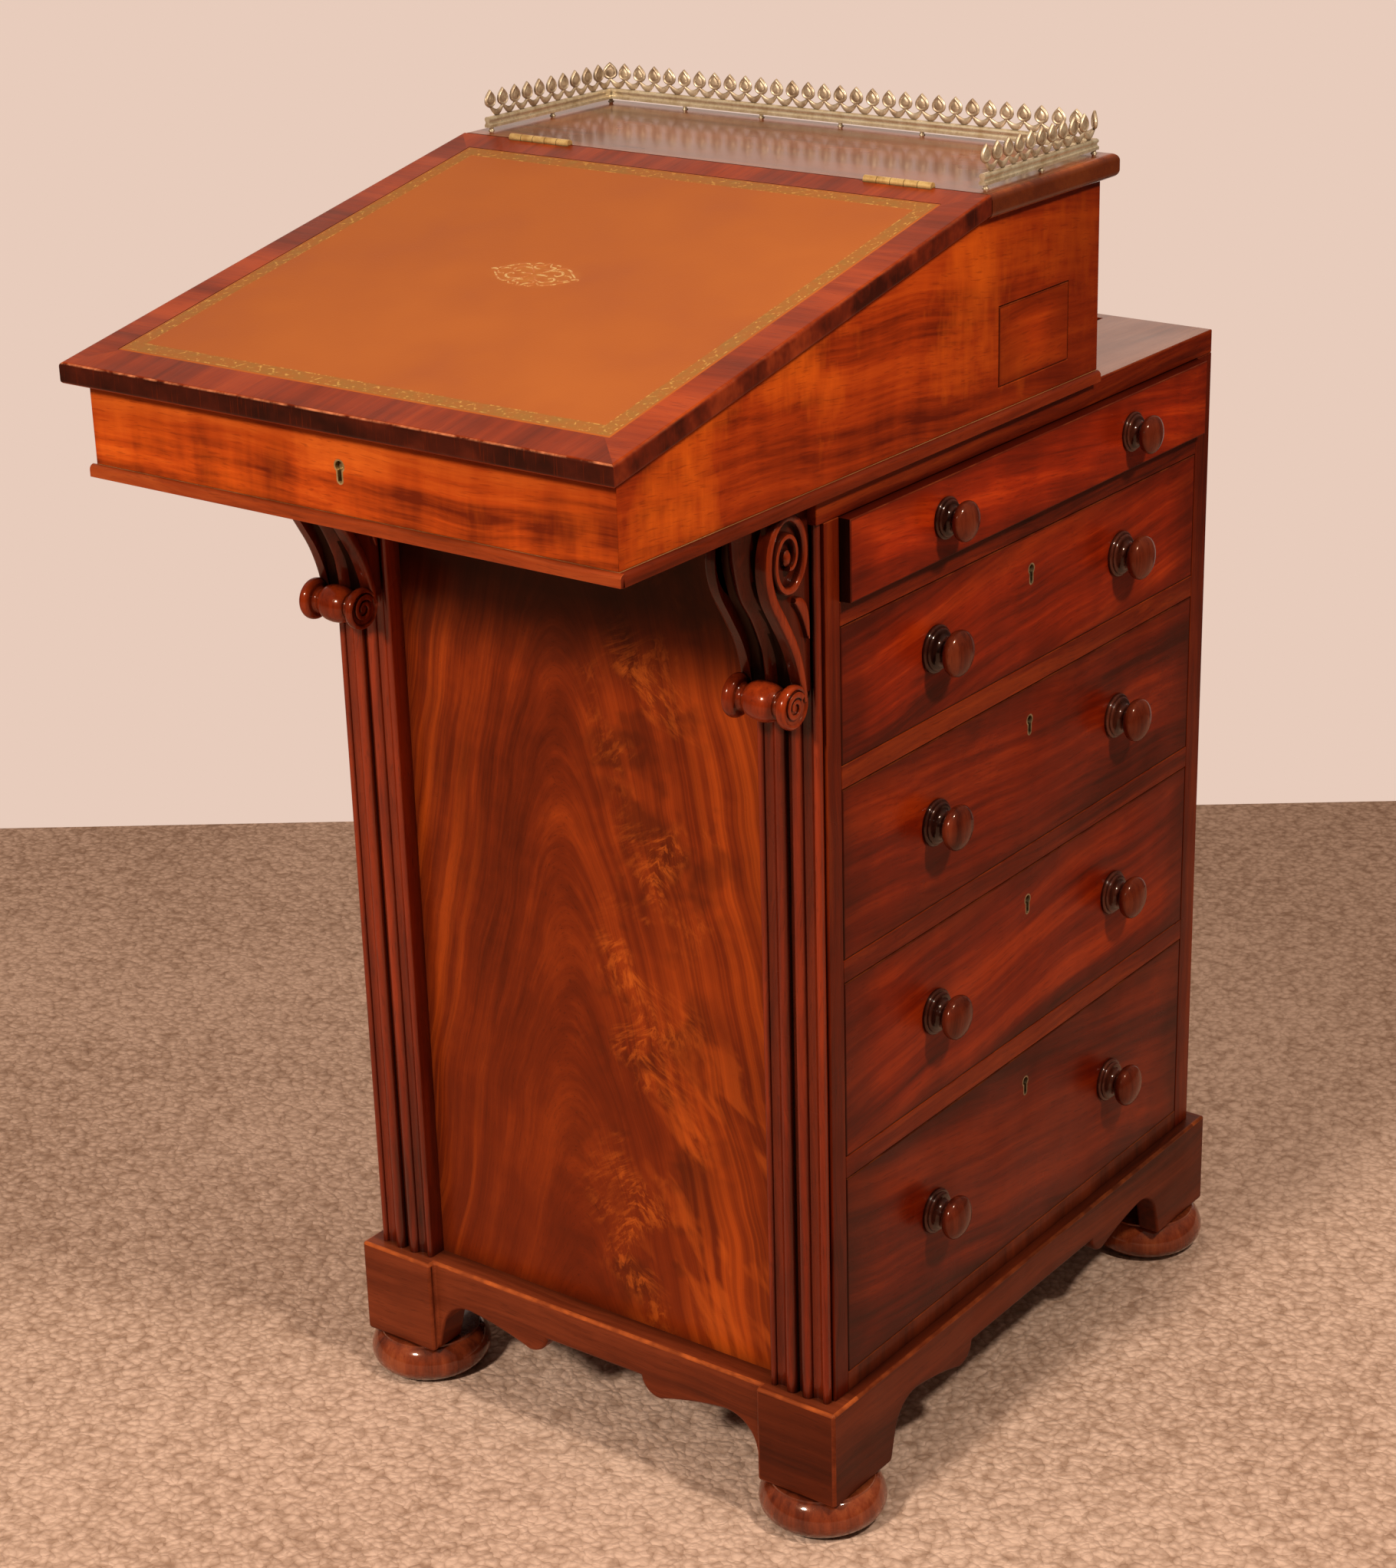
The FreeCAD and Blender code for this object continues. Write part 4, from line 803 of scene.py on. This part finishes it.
def corbel_roll(bm, at, x_low, x_high):
    """The turned roll at the corbel's foot, with a spiral on each end."""
    width = x_high - x_low
    half_roll = ROLL_END + curve(ROLL_RIM, 3) + curve(ROLL_NECK, 3) + curve(ROLL_BALL, 4)
    profile = half_roll + [(width - a, r) for a, r in reversed(half_roll[:-1])]
    turn(bm, [(a * MM, r * MM) for a, r in profile], at(x_low, *ROLL), (1, 0, 0), 44)
    line = spiral(*ROLL_COIL)
    widths = [2.0 - 0.7 * i / (len(line) - 1) for i in range(len(line))]
    for face, inward in ((x_low, 1), (x_high, -1)):
        def roll_world(u, v, rise, face=face, inward=inward):
            return at(face + inward * (ROLL_SINK - rise), ROLL[0] + u, ROLL[1] - v)

        flat_sweep(bm, line, widths, BAND_SECTION, 0.0, ROLL_RISE, roll_world)


def corbel(side, material, hollow, recess_shading):
    """A bracket with a scroll down each side, a leaf ridge in a hollow between them and a turned roll below; its
    faces that do not look sideways are darker, as painted shade.
    """
    low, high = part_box("corbel_" + side)
    x_low, x_high = low.x / MM, high.x / MM
    wall, top = high.y / MM, high.z / MM
    bm = bmesh.new()

    def at(x, depth, down):
        return Vector((x * MM, (wall - depth) * MM, (top - down) * MM))

    for face, inward in ((x_low, 1), (x_high, -1)):
        def scroll_world(depth, down, rise, face=face, inward=inward):
            return at(face + inward * (RIB - rise), depth, down)

        corbel_scroll(bm, scroll_world, inward)
    rings = []
    shares = [i / WEB_STEPS - 1 for i in range(2 * WEB_STEPS + 1)]
    middle, half = (x_low + x_high) / 2, (x_high - x_low) / 2 - RIB + 1.0
    for depth, down in curve(WEB_FRONT, 5):
        back = max(depth - WEB_BACK, 1.0)
        ring = [(x_low + WEB_INSET, -1.0), (x_low + WEB_INSET, back)]
        ring += [(middle + half * s, max(depth - web_depth(s, down), 1.0)) for s in shares]
        ring += [(x_high - WEB_INSET, back), (x_high - WEB_INSET, -1.0)]
        rings.append([at(x, reach, down) for x, reach in ring])
    solid(bm, rings, 1, ends=0)
    bm.normal_update()
    # Painted light and shade: scroll faces that do not look sideways, the volute floors, the web's sides and its
    # ridge take the third finish, darker than the sideways faces; the hollow's channels take the second, darkest
    # one.
    for face in bm.faces:
        if face.material_index == 0 and abs(face.normal.x) < 0.6:
            face.material_index = 2
        elif face.material_index == 1:
            spot = face.calc_center_median() / MM
            at_side = min(spot.x - x_low, x_high - spot.x) < WEB_INSET + 0.3
            on_ridge = abs(spot.x - middle) < half * ridge_share(top - spot.z)
            face.material_index = 2 if at_side or on_ridge else 1
    corbel_roll(bm, at, x_low, x_high)
    finishes = [material, hollow, recess_shading]
    piece("corbel_" + side + "_carved", bm, "pedestal", finishes, ["corbel_" + side], 42)


# Brass gallery

RAIL_HEIGHT = 7.5
RAIL_HALF = 2.5
RAIL_SIDE = [(RAIL_HALF, 0.0), (RAIL_HALF, 1.9), (2.0, 2.3), (1.6, 2.9), (1.6, 4.1), (2.0, 4.6), (2.4, 5.4),
             (2.2, 6.5), (1.4, 7.3)]
RAIL_SECTION = [(-o, h) for o, h in RAIL_SIDE] + [(0.0, RAIL_HEIGHT)] + RAIL_SIDE[::-1]
BUD = [(0.8, 0.0), (2.7, 0.6), (4.7, 2.2), (5.5, 4.4), (5.1, 6.7), (3.7, 9.0), (1.8, 11.0), (0.4, 12.2)]
BUD_TIP = 12.6
BUD_BASE = 5.9
BUD_HEART = 5.0
BUD_RINGS = ((1.0, 0.0), (0.93, 0.75), (0.8, 1.0), (0.66, 0.62), (0.56, 0.55), (0.44, 0.92), (0.24, 1.0))
BUDS_BACK = 30
BUDS_SIDE = 10
CREST_HALF = 1.2
SWAG_DROP = 4.6
SWAG_STEPS = 14
SWAG_SIDES = 8
PIN_APART = 6 * MM
PIN = [(0.0, 2.2), (0.5, 2.1), (0.9, 1.5), (1.6, 1.4), (2.2, 1.7), (2.6, 2.2)]


def bud(bm, foot, along, out):
    """A pointed bud with a raised rim, a sunk ring and a swelling heart, alike on both faces."""
    right = curve(BUD, 2)
    outline = right + [(0.0, BUD_TIP)] + [(-u, v) for u, v in reversed(right)]
    for face in (1, -1):
        rings = []
        for scale, rise in BUD_RINGS:
            ring = []
            for u, v in outline:
                spot = foot + along * (u * scale * MM)
                spot.z += (BUD_HEART + (v - BUD_HEART) * scale) * MM
                ring.append(spot + out * (face * rise * CREST_HALF * MM))
            rings.append(ring)
        rings.append([foot + Vector((0, 0, BUD_HEART * MM)) + out * (face * CREST_HALF * 1.1 * MM)])
        strip(bm, rings)


def swag(bm, start, end):
    """A hanging crescent from one bud to the next, thickest where it touches the rail."""
    span = end - start
    along = span.normalized()
    out = Vector((-along.y, along.x, 0))
    rings = []
    for i in range(SWAG_STEPS + 1):
        t = i / SWAG_STEPS
        drop = math.sin(math.pi * t)
        slope = math.atan2(-math.pi * math.cos(math.pi * t) * SWAG_DROP, span.length / MM)
        up = Vector((0, 0, 1)) * math.cos(slope) - along * math.sin(slope)
        radius = 0.85 + 1.45 * drop
        middle = start + span * t + Vector((0, 0, (0.6 - SWAG_DROP * drop) * MM))
        ring = []
        for k in range(SWAG_SIDES):
            a = 2 * math.pi * k / SWAG_SIDES
            ring.append(middle + up * (radius * math.cos(a) * MM) + out * (CREST_HALF * 0.8 * math.sin(a) * MM))
        rings.append(ring)
    solid(bm, rings)


def gallery(material, crest):
    low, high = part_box("gallery_rail")
    half, back, front = high.x - RAIL_HALF * MM, high.y - RAIL_HALF * MM, low.y
    rail_low = high.z - RAIL_HEIGHT * MM
    bm = bmesh.new()
    rings = []
    for x, y, nx, ny in ((half, front, 1, 0), (half, back, 1, 1), (-half, back, -1, 1), (-half, front, -1, 0)):
        rings.append([Vector((x + nx * o * MM, y + ny * o * MM, rail_low + h * MM)) for o, h in RAIL_SECTION])
    solid(bm, rings)
    pin = [(a * MM, r * MM) for a, r in curve(PIN, 3)]
    lowest = [vert.co.xy for vert in NODES["gallery_rail"].data.vertices if vert.co.z < low.z + 0.2 * MM]
    for x, y in middles(lowest, PIN_APART):
        turn(bm, pin, (x, y, low.z), (0, 0, 1), 16)
    piece("gallery_rail_moulded", bm, "desk_box", [material], ["gallery_rail"], 40)
    bm = bmesh.new()
    crest_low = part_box("gallery_crest")[0].z
    gap = 2 * half / BUDS_BACK
    beside = range(1, BUDS_SIDE + 1)
    line = [(half, back - gap * k, 1, 0) for k in reversed(beside)]
    line += [(half - gap * k, back, {0: 1, BUDS_BACK: -1}.get(k, 0), 1) for k in range(BUDS_BACK + 1)]
    line += [(-half, back - gap * k, -1, 0) for k in beside]
    places = []
    for x, y, out_x, out_y in line:
        out = Vector((out_x, out_y, 0)).normalized()
        places.append(Vector((x, y, crest_low + BUD_BASE * MM)))
        bud(bm, places[-1], Vector((-out.y, out.x, 0)), out)
    for first, second in zip(places, places[1:]):
        swag(bm, first, second)
    piece("gallery_crest_cast", bm, "desk_box", [crest], ["gallery_crest"], 46)


# Writing surface

EDGE_STEPS = (0.0, 0.25, 0.7, 1.6, 2.5, 2.8, 3.2, 3.5, 5.0, 7.0, 9.0, 11.0, 11.5, 11.8, 12.2, 12.5, 14.0, 18.0)
GROOVES = (BAND_OUT, BAND_IN)
PLAIN_FROM = 13
GRID = 12
SKIN = 0.6
STROKE_SECTION = [(-1, 0), (-0.7, 1), (0.7, 1), (1, 0)]
STROKE_SCALE = (1.22, 1.25, 1.35)
STROKE_RISE, STROKE_SINK = 0.2, 0.12
QUARTER_STROKES = (
    ([(2.0, 2.2), (6.5, 6.2), (12.5, 6.6), (15.5, 3.6), (13.6, 1.2), (11.0, 2.6)], 0.7),
    ([(8.0, 8.2), (12.0, 10.4), (17.0, 8.6), (20.5, 5.6), (25.0, 2.0)], 0.6),
    ([(0.6, 13.8), (2.6, 10.2), (6.4, 9.4), (5.2, 7.0), (1.2, 6.4)], 0.65),
    ([(17.5, 3.0), (20.5, 3.2), (23.0, 1.2)], 0.55),
    ([(3.4, 12.2), (6.6, 12.6), (8.4, 10.6)], 0.5),
)
MIDDLE_STROKES = (
    ([(24.0, 0.0), (27.0, 0.9), (28.6, 0.0)], 0.9),
    ([(1.2, 0.0), (4.5, 0.5), (8.6, 0.0)], 0.8),
)


def leather_top(material, gilt):
    low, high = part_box("writing_leather")
    mesh = NODES["writing_leather"].data
    near = max(v.co.z for v in mesh.vertices if v.co.y < low.y + 1 * MM)
    far = max(v.co.z for v in mesh.vertices if v.co.y > high.y - 1 * MM)
    pitch = (far - near) / (high.y - low.y)

    def stops(start, end):
        inner = int((end - start) / MM / GRID)
        a, b = start + EDGE_STEPS[-1] * MM, end - EDGE_STEPS[-1] * MM
        made = [start + s * MM for s in EDGE_STEPS]
        made += [a + (b - a) * i / inner for i in range(1, inner)]
        return made + [end - s * MM for s in reversed(EDGE_STEPS)]

    def surface(x, y):
        inset = min(x - low.x, high.x - x, y - low.y, high.y - y) / MM
        sink = 0.55 * max(0.0, 1 - inset / 0.7) ** 2
        for groove in GROOVES:
            sink += 0.22 * max(0.0, 1 - abs(inset - groove) / 0.4)
        if inset > PLAIN_FROM:
            sink += 0.05 + 0.05 * noise.noise(Vector((x * 22, y * 22, 0.3)))
        return Vector((x, y, near + (y - low.y) * pitch - sink * MM))

    xs, ys = stops(low.x, high.x), stops(low.y, high.y)
    bm = bmesh.new()
    rows = [[bm.verts.new(surface(x, y)) for x in xs] for y in ys]
    for first, second in zip(rows, rows[1:]):
        for i in range(len(xs) - 1):
            bm.faces.new((first[i], first[i + 1], second[i + 1], second[i]))
    rim = rows[0] + [row[-1] for row in rows[1:]] + rows[-1][-2::-1] + [row[0] for row in rows[-2:0:-1]]
    foot = [bm.verts.new(v.co - Vector((0, 0, SKIN * MM))) for v in rim]
    for i in range(len(rim)):
        j = (i + 1) % len(rim)
        bm.faces.new((rim[i], foot[i], foot[j], rim[j]))
    bm.faces.new(list(reversed(foot)))
    piece("writing_leather_skin", bm, "lid", [material], ["writing_leather"], 60)

    bm = bmesh.new()
    centre_y = low.y + MEDALLION_SHARE * (high.y - low.y)

    def tooled(u, v, rise):
        y = centre_y + v * MM
        return Vector((u * MM, y, near + (y - low.y) * pitch + (rise - STROKE_SINK) * MM))

    def stroke(points, width, flip_u, flip_v):
        wide, tall, thick = STROKE_SCALE
        line = [(u * flip_u * wide, v * flip_v * tall) for u, v in curve(points, 4)]
        last = len(line) - 1
        swell = [0.35 + 0.65 * math.sin(math.pi * (0.12 + 0.76 * i / last)) for i in range(last + 1)]
        flat_sweep(bm, line, [thick * width * s for s in swell], STROKE_SECTION, 0.0, STROKE_RISE, tooled)

    for flip_u in (1, -1):
        for flip_v in (1, -1):
            for points, width in QUARTER_STROKES:
                stroke(points, width, flip_u, flip_v)
    for flip_u in (1, -1):
        for points, width in MIDDLE_STROKES:
            stroke(points, width, flip_u, 1)
    piece("leather_medallion", bm, "lid", [gilt], sharp=60)


# Whole object

PLINTH_BLOCK = 66
BOX_WALL = 12
DRAWER_LOOKS = {1: (7, 1.6), 2: (-5, 1.25), 3: (4, 0.86), 4: (-4, 0.92), 5: (9, 0.62)}


def mitred(node, inner, outer):
    """Moves a box wall's corner edges so that front and sides meet along the corner itself."""
    def shape(bm):
        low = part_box("box_right_side")[0]
        for vert in bm.verts:
            if abs(abs(vert.co.x) - inner) < 1e-4 and abs(vert.co.y - low.y) < 1e-4:
                if node == "box_front":
                    vert.co.x = math.copysign(outer, vert.co.x)
                else:
                    vert.co.y += outer - inner
    return shape


def build():
    # Carved and turned work take strong crevice darkening: grime and painted shade.
    carved = {"rough": (0.22, 0.34), "grime_and_shade": 0.9, "crevice": (0.8, 0.3)}
    lathe = {"grime_and_shade": 0.9, "crevice": (0.95, 0.45)}
    lining = {"wear": 0.15, "rough": (0.5, 0.7), "coat": 0.0, "mottle": 0.15}
    knob_look = [
        wood("mahogany_turned", "z", KNOB, seed=3.1, rough=(0.14, 0.22), coat=0.25, mottle=0.1, **lathe),
        # Painted shade: a darker finish for the rose and neck under each knob's head.
        wood("mahogany_rose_shade", "z", ROSE_SHADE, seed=3.4, rough=(0.16, 0.26), coat=0.5, mottle=0.2, **lathe),
    ]
    carved_wood = wood("mahogany_carved", "z", SCROLL, seed=7.7, rough=(0.16, 0.28), coat=0.4, grime_and_shade=1.0,
                       crevice=(0.9, 0.45))
    # Painted shade: a darker copy of the carved wood for the right corbel's faces that do not look sideways.
    recess_shade_wood = wood("mahogany_recess_shade", "z", shaded(CARVED, 0.42), seed=7.7, coat=0.25, **carved)
    # Grime and painted shade: a near-black finish for the channels of the corbels' hollow.
    hollow_grime_and_shade_wood = wood("mahogany_hollow_grime_and_shade", "z", HOLLOW_GRIME_AND_SHADE, seed=7.9, rough=(0.3, 0.4), grime_and_shade=1.0, crevice=(0.9, 0.4))
    # Painted light: a lighter copy for the same faces of the left corbel.
    recess_lit = wood("mahogany_recess_lit", "z", shaded(CARVED, 0.8), seed=7.7, coat=0.4, **carved)
    plinth_x = pair("mahogany_plinth_front", "x", APRON, wear=0.7, seed=2.3, band=30, rough=(0.34, 0.5))
    block = wood("mahogany_plinth_block", "x", shaded(DARK, 0.75), seed=2.9, rough=(0.34, 0.5))
    plinth_y = pair("mahogany_plinth_side", "y", DARK, wear=0.22, seed=2.3, band=30, rough=(0.34, 0.5))
    upright = pair("mahogany_stile", "z", shaded(FRAME, 0.7), wear=0.15, seed=6.1)
    divider = pair("mahogany_divider", "y", shaded(FRAME, 0.82), wear=0.2, seed=8.4, band=40)
    deck = wood("mahogany_deck", "y", DULL, seed=1.2, rough=(0.3, 0.46), coat=0.9, polish=0.24)
    plain = pair("mahogany_back", "z", DARK, wear=0.2, seed=9.6, rough=(0.4, 0.6), coat=0.1)
    # Painted shade towards the rear of the box sides.
    side_y = pair("mahogany_box_side", "y", SIDE, wear=0.2, seed=11.3, tilt=(5, 0, 0), mottle=0.3, band=30,
                  glow=0.8, fade=("y", -0.06, 0.14, 0.08, 0.62))
    # Painted shadow of the lid across the top of the box front.
    front_x = pair("mahogany_box_front", "x", AMBER, wear=0.2, seed=12.9, mottle=0.5, band=24, glow=0.5,
                   fade=("z", 0.77, 0.815, 0.014, 0.7))
    pen_y = pair("mahogany_pen_front", "y", SIDE, wear=0.2, seed=13.6, glow=0.6, border="pen_drawer_front")
    mould_x = pair("mahogany_moulding", "x", MOULDING, wear=0.4, seed=14.2, coat=0.1)
    mould_y = wood("mahogany_moulding_side", "y", MOULDING_SIDE, seed=14.8)
    # Strong crevice darkening on the pilasters: grime and painted shade in the grooves between the reeds.
    pilaster_wood = wood("mahogany_pilaster", "z", CARVED, seed=17.1, rough=(0.22, 0.34), coat=0.4, grime_and_shade=1.0,
                         crevice=(0.93, 0.5))
    # Painted light: a lighter, glossier copy for the left pilaster.
    pilaster_lit = wood("mahogany_pilaster_lit", "z", shaded(CARVED, 1.1), seed=17.4, rough=(0.22, 0.34), coat=0.6,
                        grime_and_shade=0.85, crevice=(0.9, 0.4))
    # A near-black finish for the drawer fronts' end faces that look forward.
    dark_end_wood = wood("mahogany_dark_end", "z", DARK_END, seed=17.9)
    lining_x = pair("lining_along", "x", LINING, seed=18.4, **lining)
    lining_y = pair("lining_across", "y", LINING, seed=19.9, **lining)
    gallery_brass = brass("brass_gallery", tone(230, 212, 176), tone(190, 164, 124), tone(92, 66, 40), (0.26, 0.4),
                          metal=0.65, reach=0.0018)
    crest_brass = brass("brass_crest", tone(206, 182, 148), tone(146, 118, 88), tone(70, 50, 34), (0.34, 0.5),
                        metal=0.55, reach=0.003, relief=0.5)
    hinge_brass = brass("brass_hinges", tone(232, 192, 122), tone(190, 146, 84), tone(84, 54, 28), (0.24, 0.38),
                        metal=0.5, reach=0.0018)
    lock_brass = brass("brass_fittings", tone(204, 174, 120), tone(156, 124, 76), tone(60, 44, 28), (0.26, 0.42),
                       metal=0.7)
    lock_dull = brass("brass_dull", tone(168, 142, 104), tone(112, 90, 62), tone(40, 29, 19), metal=0.6)

    feet(wood("mahogany_feet", "z", BUN, seed=5.3, rough=(0.16, 0.28), coat=0.8, mottle=0.2))
    front_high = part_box("plinth_front_board")[1]
    back_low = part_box("plinth_back_board")[0]
    joints = ((1, front_high.y), (1, back_low.y))

    def plinth_face(face):
        if abs(face.normal.x) > 0.9:
            return 2
        return 3 if face.calc_center_median().x > front_high.x - PLINTH_BLOCK * MM else 0

    for node in ("plinth_front_board", "plinth_back_board"):
        eased(node, 2.2, plinth_x + plinth_y[:1] + [block], seams=joints, paint=plinth_face)
    for node in ("plinth_left_board", "plinth_right_board"):
        eased(node, 2.2, plinth_y, seams=joints)
    eased("bottom_board", 0.6, plain)
    eased("drawer_dividers", 0.5, divider)
    eased("drawer_stiles", 0.6, upright)
    dress("front_panel", flame("mahogany_flame"))
    eased("back_panel", 0.6, plain)
    # On the left, the pilaster and the corbel's front faces take the lighter copies, as painted light.
    for side, finish in (("left", pilaster_lit), ("right", pilaster_wood)):
        dress("pilaster_" + side, finish)
        corbel(side, carved_wood, hollow_grime_and_shade_wood, recess_lit if side == "left" else recess_shade_wood)
    eased("pedestal_top", 0.9, divider + [deck], paint=lambda f: 2 if f.normal.z > 0.9 else 0)
    eased("left_side_panel", 0.6, upright)
    dummy = pair("mahogany_dummies", "y", RED, wear=0.15, seed=21.0, tilt=(5, 0, 0))
    eased("dummy_drawer_fronts", 0.6, dummy, shortest=20)
    knobs("dummy_drawer_knobs", -1, knob_look)

    for number, (tilt, light) in DRAWER_LOOKS.items():
        name = f"drawer_{number}_"
        finish = pair(f"mahogany_drawer_{number}", "y", shaded(RED, light), wear=0.15, seed=22.0 + 3.7 * number,
                      tilt=(tilt, 0, 0), border=name + "front")
        # The fronts' end faces that look forward take the near-black third finish.
        eased(name + "front", 0.7, finish + [dark_end_wood], shortest=20,
              paint=lambda f: 2 if f.normal.y < -0.9 else 0)
        eased(name + "carcase", 0.5, lining_x)
        knobs(name + "knobs", 1, knob_look)
        if number > 1:
            dress(name + "lock", lock_dull)

    eased("box_floor", 0.5, lining_y)
    eased("box_back", 0.6, pair("mahogany_box_back", "x", FRAME, wear=0.2, seed=10.2))
    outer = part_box("box_right_side")[1].x
    inner = outer - BOX_WALL * MM
    for side in ("left", "right"):
        node = f"box_{side}_side"
        eased(node, 0.6, side_y, shortest=6, shape=mitred(node, inner, outer))
    eased("box_front", 0.6, front_x, shortest=20, shape=mitred("box_front", inner, outer))
    eased("box_moulding", 0.8, mould_x + [mould_y], seams=((1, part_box("box_right_side")[0].y),),
          paint=lambda f: 2 if abs(f.calc_center_median().x) > outer else 0)
    eased("slide_battens", 0.4, lining_y)
    dress("box_flat_top", wood("mahogany_flat_top", "x", FLAT_TOP, seed=15.8, rough=(0.2, 0.3), coat=0.64,
                               polish=0.12, rim=0.8))
    dress("lid_frame", crossband("mahogany_crossband"))
    for node in ("box_lock", "lid_strike_plate", "inner_drawer_knob"):
        dress(node, lock_brass)
    for node in ("box_hinge_leaves", "lid_hinge_leaves", "hinge_pins"):
        dress(node, hinge_brass)
    eased("compartment_partitions", 0.5, lining_x)
    eased("pen_drawer_front", 0.6, pen_y)
    eased("pen_drawer_tray", 0.5, lining_x)
    eased("inner_drawer_front", 0.6, front_x)
    eased("inner_drawer_tray", 0.5, lining_y)
    leather_top(leather("leather_tan"), gilding("leather_gilt"))
    gallery(gallery_brass, crest_brass)


# Stage, light and camera

AZIMUTH, ELEVATION, LEAN = math.radians(35.805), math.radians(21.741), math.radians(-1.128)
TARGET = Vector((0.04013, 0.0205, 0.4643))
DISTANCE = 2.259
SENSOR, LENS, SHIFT = 36.0, 73.573, -0.0489
WALL_BEHIND = 1.08
FLOOR_REACH = 6
WALL_SPAN = (0.74, 0.9)
WALL_TONE = tone(232, 204, 188)
HORIZON, ZENITH = tone(62, 53, 48), tone(172, 151, 138)
# Azimuth and elevation in degrees, distance and size in metres, power in watts, colour
LIGHTS = (
    ("key_right", 80, 46, 1.8, 0.16, 22, (1.0, 0.94, 0.87)),
    ("front_left", -2, 33, 3.34, 0.42, 98, (1.0, 0.93, 0.86)),
)


def direction(azimuth, elevation):
    return Vector((math.sin(azimuth) * math.cos(elevation), -math.cos(azimuth) * math.cos(elevation),
                   math.sin(elevation)))


def camera():
    data = bpy.data.cameras.new("photo_camera")
    data.sensor_width = SENSOR
    data.lens = LENS
    data.shift_x = SHIFT
    made = placed("photo_camera", data)
    back = direction(AZIMUTH, ELEVATION)
    right = (-back).cross(Vector((0, 0, 1))).normalized()
    up = right.cross(-back)
    across = right * math.cos(LEAN) + up * math.sin(LEAN)
    upward = up * math.cos(LEAN) - right * math.sin(LEAN)
    turned = Matrix((across, upward, back)).transposed().to_4x4()
    made.matrix_world = Matrix.Translation(TARGET + back * DISTANCE) @ turned
    bpy.context.scene.camera = made


def softbox(name, azimuth, elevation, distance, size, power, colour):
    data = bpy.data.lights.new(name, "AREA")
    data.shape = "DISK"
    data.size = size
    data.energy = power
    data.color = colour
    made = placed(name, data)
    way = direction(math.radians(azimuth), math.radians(elevation))
    made.location = TARGET + way * distance
    made.rotation_euler = way.to_track_quat("Z", "Y").to_euler()


def stage():
    ahead = Vector((-math.sin(AZIMUTH), math.cos(AZIMUTH), 0))
    aside = Vector((math.cos(AZIMUTH), math.sin(AZIMUTH), 0))
    ground = Vector((TARGET.x, TARGET.y, 0))
    bm = bmesh.new()
    far = FLOOR_REACH
    corners = ((WALL_BEHIND, -far), (WALL_BEHIND, far), (-far, far), (-far, -far))
    bm.faces.new([bm.verts.new(ground + ahead * a + aside * b) for a, b in corners])
    mesh = bpy.data.meshes.new("floor")
    bm.to_mesh(mesh)
    bm.free()
    mesh.materials.append(carpet("floor_pale", tone(215, 178, 151), tone(156, 120, 94)))
    floor = placed("floor", mesh)

    world = bpy.data.worlds.new("studio")
    bpy.context.scene.world = world
    g = Graph(world)
    way = g.coordinates("Generated")
    toward = g.add("VectorMath", {0: way, 1: ahead}, operation="DOT_PRODUCT").outputs["Value"]
    sky = g.mix(g.split(way)[2], HORIZON, ZENITH)
    g.feed(g.tree.nodes["Background"].inputs["Color"], g.mix(g.span(toward, *WALL_SPAN), sky, WALL_TONE))

    for light in LIGHTS:
        softbox(*light)
    bpy.context.scene.view_settings.view_transform = "Standard"


build()
camera()
stage()
